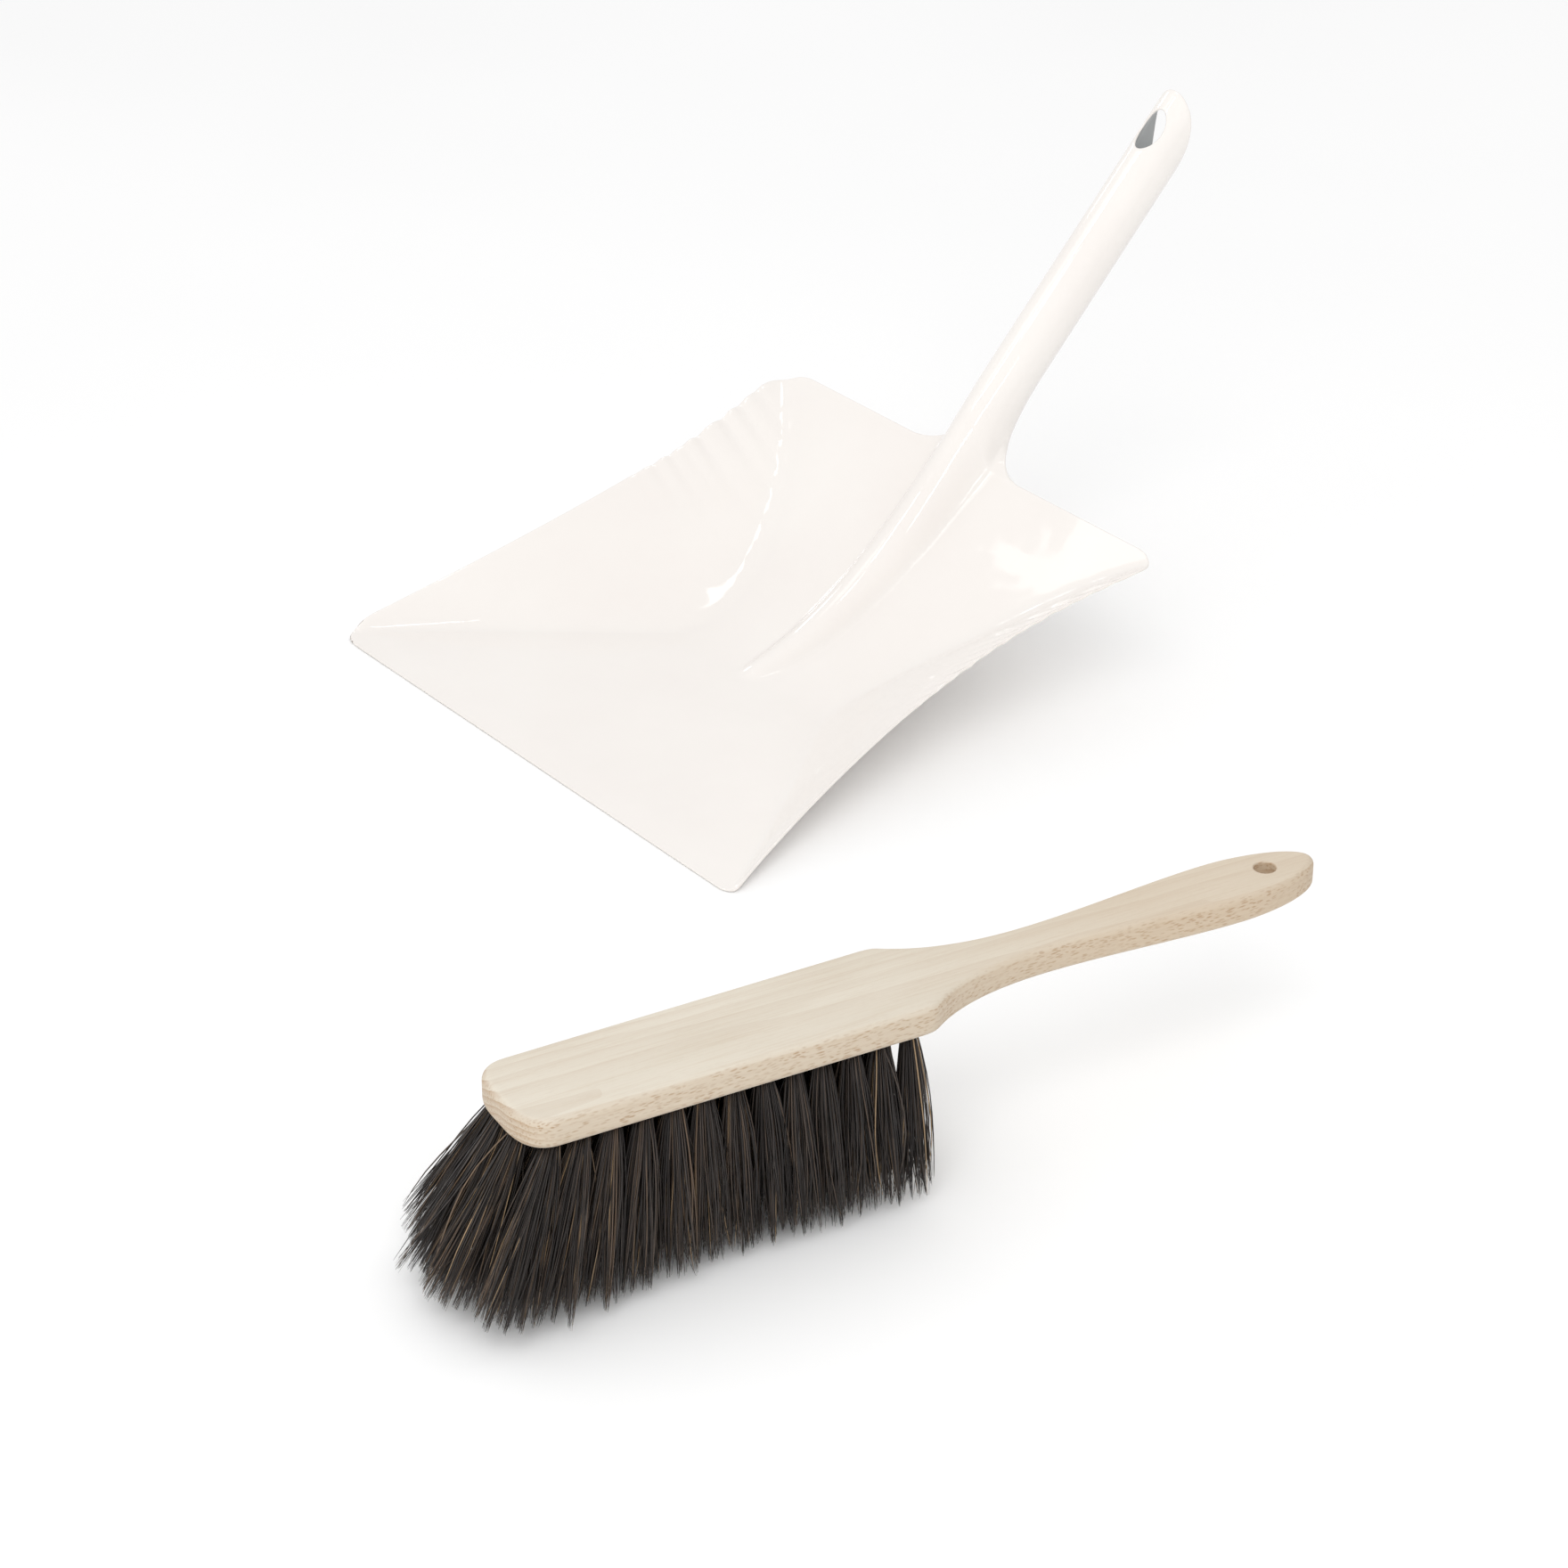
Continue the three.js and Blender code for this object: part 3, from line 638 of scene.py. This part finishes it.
def board_mesh():
    """The board's wall, rounded edges and hang hole, and the loops between which its flat faces go."""
    outline = board_outline()
    n = len(outline)
    rings = edge_rings(BOARD_ROUND, EDGE_STEPS, EDGE_BEYOND)
    points = []
    for distance, z in rings:
        flat = inset(outline, distance)
        points += [(p[0], p[1], z) for p in flat]
    faces = []
    for r in range(len(rings) - 1):
        for k in range(n):
            nxt = (k + 1) % n
            faces.append((r * n + k, r * n + nxt, (r + 1) * n + nxt, (r + 1) * n + k))
    hole_rings = edge_rings(BOARD_HOLE_ROUND, HOLE_EDGE_STEPS, HOLE_EDGE_BEYOND)
    start = len(points)
    for away, z in hole_rings:
        radius = BOARD_HOLE_RADIUS + away
        for k in range(HOLE_SIDES):
            angle = 2 * math.pi * k / HOLE_SIDES
            points.append((BOARD_HOLE_AT + radius * math.cos(angle), radius * math.sin(angle), z))
    for r in range(len(hole_rings) - 1):
        for k in range(HOLE_SIDES):
            nxt = (k + 1) % HOLE_SIDES
            a, b = start + r * HOLE_SIDES + k, start + r * HOLE_SIDES + nxt
            faces.append((a, a + HOLE_SIDES, b + HOLE_SIDES, b))
    last_ring = (len(rings) - 1) * n
    lower = (range(n), range(start, start + HOLE_SIDES))
    upper = (range(last_ring, last_ring + n), range(len(points) - HOLE_SIDES, len(points)))
    return np.array(points), faces, (lower, upper)


def make_board():
    """The board as an object, with its two flat faces filled between outline and hole."""
    points, faces, loops = board_mesh()
    piece = new_object("brush_board_beech", points, faces, BRUSH_MATRIX)
    bm = bmesh.new()
    bm.from_mesh(piece.data)
    bm.verts.ensure_lookup_table()
    for outer, inner in loops:
        edges = []
        for loop in (list(outer), list(inner)):
            for k in range(len(loop)):
                a, b = bm.verts[loop[k]], bm.verts[loop[(k + 1) % len(loop)]]
                edges.append(bm.edges.get((a, b)) or bm.edges.new((a, b)))
        bmesh.ops.triangle_fill(bm, edges=edges, use_beauty=True)
    bmesh.ops.recalc_face_normals(bm, faces=bm.faces)
    for face in bm.faces:
        face.smooth = True
    bm.to_mesh(piece.data)
    bm.free()
    return piece


# ---- bristles ----
def tuft_ends(t0, w0, front, count):
    """Start places, end places and end heights of one tuft's fibres, and how far each is off its clump."""
    tip_t = t0 - FRONT_REACH * front**FRONT_LEAN_EASE
    tip_w = w0 * (SIDE_SPREAD + FRONT_SIDE_SPREAD * front)
    half = np.array(TUFT_TIP_HALF) + FRONT_TIP_GROWTH * front
    k = np.arange(CLUMPS_PER_TUFT)
    turn = k * GOLDEN_ANGLE + rng.uniform(0, 2 * math.pi)
    reach = np.sqrt((k + 0.5) / CLUMPS_PER_TUFT)
    clumps = np.stack([reach * np.cos(turn), reach * np.sin(turn)], -1)
    clumps += rng.normal(0, CLUMP_SCATTER, (CLUMPS_PER_TUFT, 2))
    clump_rise = np.abs(rng.normal(0, CLUMP_RISE, CLUMPS_PER_TUFT))
    which = rng.integers(0, CLUMPS_PER_TUFT, count)
    centre = clumps[which]
    loose = rng.normal(0, FIBRE_SCATTER, (count, 2))
    root = centre * ROOT_CLUMPING + loose * ROOT_SCATTER
    root_size = np.linalg.norm(root, axis=1, keepdims=True)
    root = root / np.maximum(root_size, 1.0) * TUFT_ROOT
    tip = centre * TIP_CLUMPING + loose * TIP_SCATTER + rng.normal(0, TIP_JITTER, (count, 2))
    tip_xy = np.array([tip_t, tip_w]) + tip * half
    sideways = np.linalg.norm(tip_xy - np.array([t0, w0]), axis=1)
    lifted = TIP_LIFT * (TUFT_LENGTH - np.sqrt(TUFT_LENGTH**2 - sideways**2))
    shorter = SPIKE_LENGTH * np.linalg.norm(loose, axis=1)
    tip_z = LOWEST_TIP + lifted + clump_rise[which] + shorter + np.abs(rng.normal(0, TIP_RISE, count))
    return np.array([t0, w0]) + root, tip_xy, tip_z, loose * half


def tuft_fibres(t0, w0):
    """Centre lines of one tuft's fibres, (fibres, stations, 3), and their radii and tones."""
    front = float(clamp01((FRONT_LEAN_END - t0) / FRONT_LEAN_LENGTH))
    count = FIBRES_PER_TUFT + int(FRONT_FIBRES_MORE * front)
    root_z = BOARD_TOP - BOARD_THICK + ROOT_DEPTH
    root_xy, tip_xy, tip_z, off_clump = tuft_ends(t0, w0, front, count)
    stations = np.linspace(0, 1, len(FIBRE_PROFILE))
    u = stations[None, :, None]
    spread = u ** (SPREAD_EASE + FRONT_SPREAD_EASE * front)
    xy = root_xy[:, None, :] + (tip_xy - root_xy)[:, None, :] * spread
    opening = MIDDLE_OPENING - FRONT_MIDDLE_CLOSING * front
    open_mid = (off_clump * opening)[:, None, :] * np.sin(math.pi * u)
    bow = rng.normal(0, FIBRE_BOW, (count, 1, 2)) * np.sin(math.pi * u)
    wave = rng.normal(0, FIBRE_WAVE, (count, 1, 2)) * np.sin(2 * math.pi * u)
    stray = rng.uniform(0, 1, count) < STRAY_SHARE
    bow[stray] *= STRAY_BOW
    xy = xy + open_mid + bow + wave
    z = root_z + (tip_z[:, None] - root_z) * stations[None, :]
    line = np.concatenate([xy, z[:, :, None]], -1)
    size = FIBRE_RADIUS * rng.uniform(*FIBRE_RADIUS_RANGE, count)
    radius = size[:, None] * np.array(FIBRE_PROFILE)[None, :]
    tone = rng.uniform(0, 1, count)
    return line, radius, tone


def fibre_mesh(lines, radii, tones):
    """Closed thin tubes along the centre lines, as points, faces and a tone for each point."""
    count, stations = lines.shape[:2]
    tangent = np.gradient(lines, axis=1)
    tangent /= np.linalg.norm(tangent, axis=2, keepdims=True)
    spin = rng.uniform(0, 2 * math.pi, count)
    reference = np.stack([np.cos(spin), np.sin(spin), np.zeros(count)], -1)[:, None, :]
    across = reference - (reference * tangent).sum(2, keepdims=True) * tangent
    across /= np.linalg.norm(across, axis=2, keepdims=True)
    other = np.cross(tangent, across)
    rings = []
    for k in range(FIBRE_SIDES):
        angle = 2 * math.pi * k / FIBRE_SIDES
        rings.append(lines + radii[:, :, None] * (math.cos(angle) * across + math.sin(angle) * other))
    points = np.stack(rings, 2).reshape(-1, 3)
    base = (np.arange(count) * stations * FIBRE_SIDES)[:, None, None]
    ring = (np.arange(stations - 1) * FIBRE_SIDES)[None, :, None]
    k = np.arange(FIBRE_SIDES)[None, None, :]
    nxt = (k + 1) % FIBRE_SIDES
    a = base + ring + k
    b = base + ring + nxt
    wall = np.stack([a, b, b + FIBRE_SIDES, a + FIBRE_SIDES], -1).reshape(-1, 4)
    first = np.arange(count)[:, None] * stations * FIBRE_SIDES
    cap_root = first + np.arange(FIBRE_SIDES)[None, ::-1]
    cap_tip = first + (stations - 1) * FIBRE_SIDES + np.arange(FIBRE_SIDES)[None, :]
    faces = np.concatenate([wall, cap_root, cap_tip])
    return points, faces, np.repeat(tones, stations * FIBRE_SIDES)


def quad_object(name, points, faces, matrix):
    """An object of many four-sided faces, made faster than from_pydata does."""
    mesh = bpy.data.meshes.new(name)
    mesh.vertices.add(len(points))
    mesh.vertices.foreach_set("co", (np.asarray(points) * MM).astype(np.float32).ravel())
    mesh.loops.add(faces.size)
    mesh.loops.foreach_set("vertex_index", faces.astype(np.int32).ravel())
    mesh.polygons.add(len(faces))
    mesh.polygons.foreach_set("loop_start", (np.arange(len(faces)) * 4).astype(np.int32))
    mesh.update(calc_edges=True)
    mesh.polygons.foreach_set("use_smooth", [True] * len(mesh.polygons))
    mesh.validate()
    return put_in_scene(name, mesh, matrix)


def make_bristle_row(number, w, start):
    """One row of tufts as a single object."""
    lines, radii, tones = [], [], []
    for i in range(TUFTS_PER_ROW):
        line, radius, tone = tuft_fibres(start + i * TUFT_PITCH, w)
        lines.append(line)
        radii.append(radius)
        tones.append(tone)
    points, faces, tone = fibre_mesh(np.concatenate(lines), np.concatenate(radii), np.concatenate(tones))
    points[:, 2] = np.maximum(points[:, 2], LOWEST_POINT)
    piece = quad_object(f"bristles_row{number}", points, faces, BRUSH_MATRIX)
    set_attribute(piece, "fibre_tone", tone)
    return piece


# ---- materials ----
def linear(red, green, blue):
    """Linear colour of a display colour given in 0 to 255."""
    values = []
    for value in (red, green, blue):
        v = value / 255
        values.append(v / 12.92 if v <= 0.04045 else ((v + 0.055) / 1.055) ** 2.4)
    return (*values, 1.0)


ENAMEL = (linear(240, 234.6, 230), linear(243, 238.6, 234))
ENAMEL_RIM = linear(216, 203, 188)
ENAMEL_CHIPPED = linear(104, 82, 60)
BARE_STEEL = linear(176, 178, 178)
BEECH = (linear(212, 202, 185), linear(223, 215, 200))
BEECH_HANDLE = linear(208, 190, 166)
BEECH_RING = linear(166, 128, 92)
BEECH_GRAIN = linear(192, 168, 140)
BEECH_FLECK = linear(160, 124, 90)
# Painted shade: the board's sides and ends are painted darker than its top, as if less lit from above.
BEECH_SIDE_PAINTED_SHADE = linear(192, 168, 138)
BRISTLES = (
    (0.0, linear(31, 27, 26)),
    (0.55, linear(52, 45, 41)),
    (0.85, linear(84, 71, 61)),
    (0.95, linear(112, 92, 74)),
    (0.975, linear(176, 148, 114)),
)
BRISTLE_STREAK = linear(24, 20, 18)
FLOOR_TONES = (linear(253, 253, 253), linear(255, 255, 255))

# Growth rings of the beech, in metres: they run round an axis below the board and a little aside.
RING_AXIS_ASIDE = 0.014
RING_AXIS_HEIGHT = 0.022
RING_TILT = 0.012
RING_WAVER = 0.006
RINGS_PER_METRE = 430

# The board darkens towards its handle between these places along the brush, in metres.
HANDLE_TONE_FROM = 0.15
HANDLE_TONE_TO = 0.24


class Nodes:
    """A short way to build one material's nodes."""

    def __init__(self, name):
        self.material = bpy.data.materials.new(name)
        self.material.use_nodes = True
        self.tree = self.material.node_tree
        self.tree.nodes.clear()
        self.shader = self.add("ShaderNodeBsdfPrincipled")
        output = self.add("ShaderNodeOutputMaterial")
        self.link(self.shader.outputs["BSDF"], output.inputs["Surface"])

    def add(self, kind, **settings):
        node = self.tree.nodes.new(kind)
        for key, value in settings.items():
            setattr(node, key, value)
        return node

    def link(self, source, target):
        self.tree.links.new(source, target)

    def place(self, scale=(1, 1, 1)):
        """The point's own place in its piece, in metres, stretched by a scale along each axis."""
        own = self.add("ShaderNodeAttribute", attribute_name="own_place")
        mapping = self.add("ShaderNodeMapping")
        mapping.inputs["Scale"].default_value = scale
        self.link(own.outputs["Vector"], mapping.inputs["Vector"])
        return mapping.outputs["Vector"]

    def noise(self, vector, scale, detail=3.0, roughness=0.55):
        node = self.add("ShaderNodeTexNoise")
        node.inputs["Scale"].default_value = scale
        node.inputs["Detail"].default_value = detail
        node.inputs["Roughness"].default_value = roughness
        self.link(vector, node.inputs["Vector"])
        return node.outputs["Fac"]

    def ramp(self, source, stops):
        node = self.add("ShaderNodeValToRGB")
        elements = node.color_ramp.elements
        while len(elements) < len(stops):
            elements.new(0.5)
        for element, (position, colour) in zip(elements, stops):
            element.position = position
            element.color = colour
        self.link(source, node.inputs["Fac"])
        return node.outputs["Color"]

    def range(self, source, low, high, to_low, to_high):
        node = self.add("ShaderNodeMapRange")
        node.inputs["From Min"].default_value = low
        node.inputs["From Max"].default_value = high
        node.inputs["To Min"].default_value = to_low
        node.inputs["To Max"].default_value = to_high
        self.link(source, node.inputs["Value"])
        return node.outputs["Result"]

    def math(self, operation, a, b=None):
        node = self.add("ShaderNodeMath", operation=operation)
        for socket, value in zip(node.inputs, (a, b)):
            if value is None:
                continue
            if isinstance(value, (int, float)):
                socket.default_value = value
            else:
                self.link(value, socket)
        return node.outputs["Value"]

    def blend(self, factor, first, second):
        node = self.add("ShaderNodeMix", data_type="RGBA")
        for socket, value in ((node.inputs[0], factor), (node.inputs[6], first), (node.inputs[7], second)):
            if isinstance(value, (int, float, tuple)):
                socket.default_value = value
            else:
                self.link(value, socket)
        return node.outputs[2]

    def bump(self, height, strength, distance, normal=None):
        node = self.add("ShaderNodeBump")
        node.inputs["Strength"].default_value = strength
        node.inputs["Distance"].default_value = distance
        self.link(height, node.inputs["Height"])
        if normal is not None:
            self.link(normal, node.inputs["Normal"])
        return node.outputs["Normal"]


def enamel_material():
    """Glossy enamel, worn thin along the rim, chipped at one corner and missing inside most of the tube."""
    n = Nodes("warm_white_enamel")
    place = n.place()
    broad = n.noise(place, 14, 4)
    tone = n.ramp(broad, ((0.3, ENAMEL[0]), (0.7, ENAMEL[1])))
    rim = n.add("ShaderNodeAttribute", attribute_name="rim")
    chip = n.add("ShaderNodeAttribute", attribute_name="chip")
    bare = n.add("ShaderNodeAttribute", attribute_name="bare")
    speckle = n.noise(place, 420, 4)
    thin = n.math("MULTIPLY", rim.outputs["Fac"], n.range(speckle, 0.35, 0.7, 0.05, 0.22))
    edged = n.blend(thin, tone, ENAMEL_RIM)
    lost = n.math("MULTIPLY", chip.outputs["Fac"], n.range(speckle, 0.45, 0.52, 0.0, 1.0))
    chipped = n.blend(lost, edged, ENAMEL_CHIPPED)
    inside = n.blend(bare.outputs["Fac"], chipped, BARE_STEEL)
    n.link(inside, n.shader.inputs["Base Color"])
    smear = n.noise(place, 60, 5)
    n.link(n.range(smear, 0.3, 0.7, 0.03, 0.06), n.shader.inputs["Roughness"])
    ripple = n.noise(place, 30, 2)
    peel = n.noise(place, 700, 2)
    waves = n.bump(ripple, 0.35, 0.001)
    n.link(n.bump(peel, 0.02, 0.00005, waves), n.shader.inputs["Normal"])
    n.shader.inputs["IOR"].default_value = 1.52
    return n.material


def beech_material():
    """Sanded beech with growth rings, fine grain and, on its sides, the flecks of the rays and a painted
    shade that darkens them.
    """
    n = Nodes("sanded_beech")
    place = n.place()
    split = n.add("ShaderNodeSeparateXYZ")
    n.link(place, split.inputs["Vector"])
    facing = n.add("ShaderNodeTexCoord")
    turned = n.add("ShaderNodeVectorRotate", rotation_type="Z_AXIS")
    turned.inputs["Angle"].default_value = -BRUSH_TURN
    n.link(facing.outputs["Normal"], turned.inputs["Vector"])
    face = n.add("ShaderNodeSeparateXYZ")
    n.link(turned.outputs["Vector"], face.inputs["Vector"])
    on_side = n.range(n.math("ABSOLUTE", face.outputs["Z"]), 0.3, 0.95, 1.0, 0.0)
    on_end = n.range(n.math("ABSOLUTE", face.outputs["X"]), 0.25, 0.9, 0.0, 1.0)
    bend = n.noise(n.place((5.0, 25, 25)), 1.0, 3)
    across = n.math("ADD", split.outputs["Y"], RING_AXIS_ASIDE)
    depth = n.math("ADD", split.outputs["Z"], -RING_AXIS_HEIGHT)
    across_squared = n.math("MULTIPLY", across, across)
    radius = n.math("SQRT", n.math("ADD", across_squared, n.math("MULTIPLY", depth, depth)))
    tilt = n.math("MULTIPLY", split.outputs["X"], RING_TILT)
    ring_at = n.math("ADD", n.math("ADD", radius, tilt), n.math("MULTIPLY", bend, RING_WAVER))
    saw = n.math("FRACT", n.math("MULTIPLY", ring_at, RINGS_PER_METRE))
    late = n.math("POWER", saw, 1.6)
    fine = n.noise(n.place((30, 1100, 1100)), 1.0, 4, 0.7)
    broad = n.noise(n.place((9, 50, 50)), 1.0, 4)
    base = n.ramp(broad, ((0.3, BEECH[0]), (0.72, BEECH[1])))
    ring_strength = n.math("ADD", n.math("MULTIPLY", on_end, 0.62), 0.12)
    on_handle = n.range(split.outputs["X"], HANDLE_TONE_FROM, HANDLE_TONE_TO, 0.0, 0.55)
    toned = n.blend(on_handle, base, BEECH_HANDLE)
    ringed = n.blend(n.math("MULTIPLY", late, ring_strength), toned, BEECH_RING)
    grained = n.blend(n.range(fine, 0.48, 0.78, 0.0, 0.34), ringed, BEECH_GRAIN)
    # Short brown flecks where the rays come out on the sides.
    cells = n.add("ShaderNodeTexVoronoi")
    cells.inputs["Scale"].default_value = 1.0
    warp = n.noise(n.place((90, 240, 240)), 1.0, 3)
    flow = n.add("ShaderNodeVectorMath", operation="ADD")
    n.link(n.place((330, 1300, 1300)), flow.inputs[0])
    n.link(n.math("MULTIPLY", warp, 2.2), flow.inputs[1])
    n.link(flow.outputs["Vector"], cells.inputs["Vector"])
    fleck = n.range(cells.outputs["Distance"], 0.22, 0.48, 1.0, 0.0)
    patch = n.range(n.noise(n.place((70, 200, 200)), 1.0, 3), 0.36, 0.6, 0.2, 1.0)
    shown = n.math("ADD", n.math("MULTIPLY", on_side, 0.8), 0.05)
    flecks = n.math("MULTIPLY", n.math("MULTIPLY", fleck, shown), patch)
    flecked = n.blend(flecks, grained, BEECH_FLECK)
    # Painted shade: the sides and ends are blended towards a darker colour than the top, standing in for the
    # light falling from above.
    side_painted_shade = n.blend(n.math("MULTIPLY", on_side, 0.42), flecked, BEECH_SIDE_PAINTED_SHADE)
    n.link(side_painted_shade, n.shader.inputs["Base Color"])
    n.link(n.range(fine, 0.3, 0.8, 0.5, 0.68), n.shader.inputs["Roughness"])
    grain = n.bump(fine, 0.4, 0.0001)
    n.link(n.bump(flecks, 0.5, 0.0001, grain), n.shader.inputs["Normal"])
    return n.material


def bristle_material():
    """Dark fibres, a few of them much lighter than the rest."""
    n = Nodes("dark_plant_fibre")
    tone = n.add("ShaderNodeAttribute", attribute_name="fibre_tone")
    colour = n.ramp(tone.outputs["Fac"], BRISTLES)
    streak = n.noise(n.place((260, 260, 60)), 1.0, 3)
    shade = n.blend(n.range(streak, 0.3, 0.7, 0.0, 0.35), colour, BRISTLE_STREAK)
    n.link(shade, n.shader.inputs["Base Color"])
    n.link(n.range(streak, 0.3, 0.7, 0.32, 0.5), n.shader.inputs["Roughness"])
    n.link(n.bump(streak, 0.3, 0.0001), n.shader.inputs["Normal"])
    return n.material


def floor_material():
    n = Nodes("pale_floor")
    place = n.add("ShaderNodeTexCoord")
    cloud = n.noise(place.outputs["Object"], 3.0, 2)
    tone = n.ramp(cloud, ((0.3, FLOOR_TONES[0]), (0.7, FLOOR_TONES[1])))
    n.link(tone, n.shader.inputs["Base Color"])
    n.link(n.range(cloud, 0.3, 0.7, 0.85, 0.9), n.shader.inputs["Roughness"])
    n.shader.inputs["Specular IOR Level"].default_value = 0.0
    return n.material


def use_material(piece, material):
    piece.data.materials.clear()
    piece.data.materials.append(material)


# ---- pieces ----
pan_points, pan_faces, pan_marks = sheet_mesh()
pan = new_object("dust_pan_enamel_sheet", pan_points, pan_faces, PAN_MATRIX)
for mark, values in pan_marks.items():
    set_attribute(pan, mark, values)
use_material(pan, enamel_material())
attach(pan, "dust_pan")
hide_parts("dust_pan_sheet")

board = make_board()
use_material(board, beech_material())
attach(board, "hand_brush")
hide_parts("brush_board")

fibre = bristle_material()
for number, (row_w, row_start) in enumerate(ROWS, start=1):
    bristles = make_bristle_row(number, row_w, row_start)
    use_material(bristles, fibre)
    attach(bristles, "hand_brush")
    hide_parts(*[f"bristle_tuft_row{number}_{i:02d}" for i in range(1, TUFTS_PER_ROW + 1)])

# ---- floor, light and camera ----
FLOOR_SIZE = 14.0
FLOOR_DROP = 0.0003
SKY_STRENGTH = 0.92
SKY_DIM_TOWARD = (0.64, 0.77, 0.0)  # the side where the sky is dimmer
SKY_DIM_FROM = 0.5  # cosines of the angle to that side
SKY_DIM_TO = 0.95
SKY_DIM_SHARE = 0.45

bpy.ops.mesh.primitive_grid_add(
    x_subdivisions=8, y_subdivisions=8, size=FLOOR_SIZE, location=(0, 0, -FLOOR_DROP)
)
floor = bpy.context.object
floor.name = "floor"
use_material(floor, floor_material())

world = bpy.data.worlds.new("studio")
bpy.context.scene.world = world
world.use_nodes = True
sky = world.node_tree
toward = sky.nodes.new("ShaderNodeTexCoord")
aside = sky.nodes.new("ShaderNodeVectorMath")
aside.operation = "DOT_PRODUCT"
aside.inputs[1].default_value = SKY_DIM_TOWARD
sky.links.new(toward.outputs["Generated"], aside.inputs[0])
dim = sky.nodes.new("ShaderNodeMapRange")
dim.interpolation_type = "SMOOTHSTEP"
dim.inputs["From Min"].default_value = SKY_DIM_FROM
dim.inputs["From Max"].default_value = SKY_DIM_TO
dim.inputs["To Min"].default_value = SKY_STRENGTH
dim.inputs["To Max"].default_value = SKY_STRENGTH * SKY_DIM_SHARE
sky.links.new(aside.outputs["Value"], dim.inputs["Value"])
sky.links.new(dim.outputs["Result"], sky.nodes["Background"].inputs["Strength"])
sky.nodes["Background"].inputs["Color"].default_value = (1.0, 1.0, 1.0, 1.0)
bpy.context.scene.view_settings.view_transform = "Standard"


def softbox(name, azimuth, elevation, distance, size, radiance, target, in_gloss=True, in_diffuse=True):
    """A rectangular light seen from the target at an azimuth (from +Y to +X) and an elevation, in degrees.

    Its distance and its size are in metres.
    """
    a, e = math.radians(azimuth), math.radians(elevation)
    direction = Vector((math.sin(a) * math.cos(e), math.cos(a) * math.cos(e), math.sin(e)))
    light = bpy.data.lights.new(name, "AREA")
    light.shape = "RECTANGLE"
    light.size, light.size_y = size
    light.energy = radiance * math.pi * size[0] * size[1]
    lamp = bpy.data.objects.new(name, light)
    bpy.context.scene.collection.objects.link(lamp)
    lamp.location = PAN_ORIGIN + Vector(target) + distance * direction
    lamp.rotation_euler = (-direction).to_track_quat("-Z", "Y").to_euler()
    lamp.visible_glossy = in_gloss
    lamp.visible_diffuse = in_diffuse
    lamp.visible_camera = False


# Points that the lights are aimed at, from the middle of the pan's sweeping edge.
BETWEEN = (0.099, 0.050, 0.0)
HANDLE_MIDDLE = (0.002, 0.266, 0.137)
RIGHT_BACK_WALL = (0.091, 0.215, 0.062)
LEFT_BACK_CREASE = (-0.091, 0.233, 0.05)
LEFT_BACK_CORNER = (-0.109, 0.207, 0.058)
LEFT_FRONT_CORNER = (-0.111, 0.028, 0.003)
RIB_NOSE = (0.002, 0.110, 0.004)

softbox("key_light", 130, 48, 2.2, (1.4, 1.4), 2.2, BETWEEN, in_gloss=False)
softbox("rib_light", 140, 47, 1.7, (0.13, 0.25), 8.0, BETWEEN, in_diffuse=False)
softbox("handle_light", -150, 48.5, 1.7, (0.15, 0.36), 8.0, HANDLE_MIDDLE, in_diffuse=False)
softbox("window", -123, 45.5, 0.8, (0.16, 0.22), 1.5, RIGHT_BACK_WALL, in_diffuse=False)
softbox("crease_light", 0, 90, 0.42, (0.046, 0.046), 4.2, LEFT_BACK_CREASE, in_diffuse=False)
softbox("corner_light", -15, 76, 0.45, (0.05, 0.05), 5.0, LEFT_BACK_CORNER, in_diffuse=False)
softbox("front_crease_light", 155, 81, 0.5, (0.04, 0.04), 6.0, LEFT_FRONT_CORNER, in_diffuse=False)
softbox("nose_light", -85, 27, 1.5, (0.2, 0.2), 6.0, RIB_NOSE, in_diffuse=False)

CAMERA_TARGET = PAN_ORIGIN + Vector((0.07596, 0.06511, 0.0))  # between the pan and the brush
CAMERA_AZIMUTH = math.radians(52.22)
CAMERA_ELEVATION = math.radians(29.17)
CAMERA_DISTANCE = 1.5922
SENSOR_WIDTH = 36.0
FOCAL_LENGTH = 97.97
camera_data = bpy.data.cameras.new("camera")
camera_data.sensor_width = SENSOR_WIDTH
camera_data.lens = FOCAL_LENGTH
camera = bpy.data.objects.new("camera", camera_data)
bpy.context.scene.collection.objects.link(camera)
level = math.cos(CAMERA_ELEVATION)
camera.location = CAMERA_TARGET + CAMERA_DISTANCE * Vector((
    math.sin(CAMERA_AZIMUTH) * level,
    -math.cos(CAMERA_AZIMUTH) * level,
    math.sin(CAMERA_ELEVATION),
))
camera.rotation_euler = (CAMERA_TARGET - camera.location).to_track_quat("-Z", "Y").to_euler()
bpy.context.scene.camera = camera
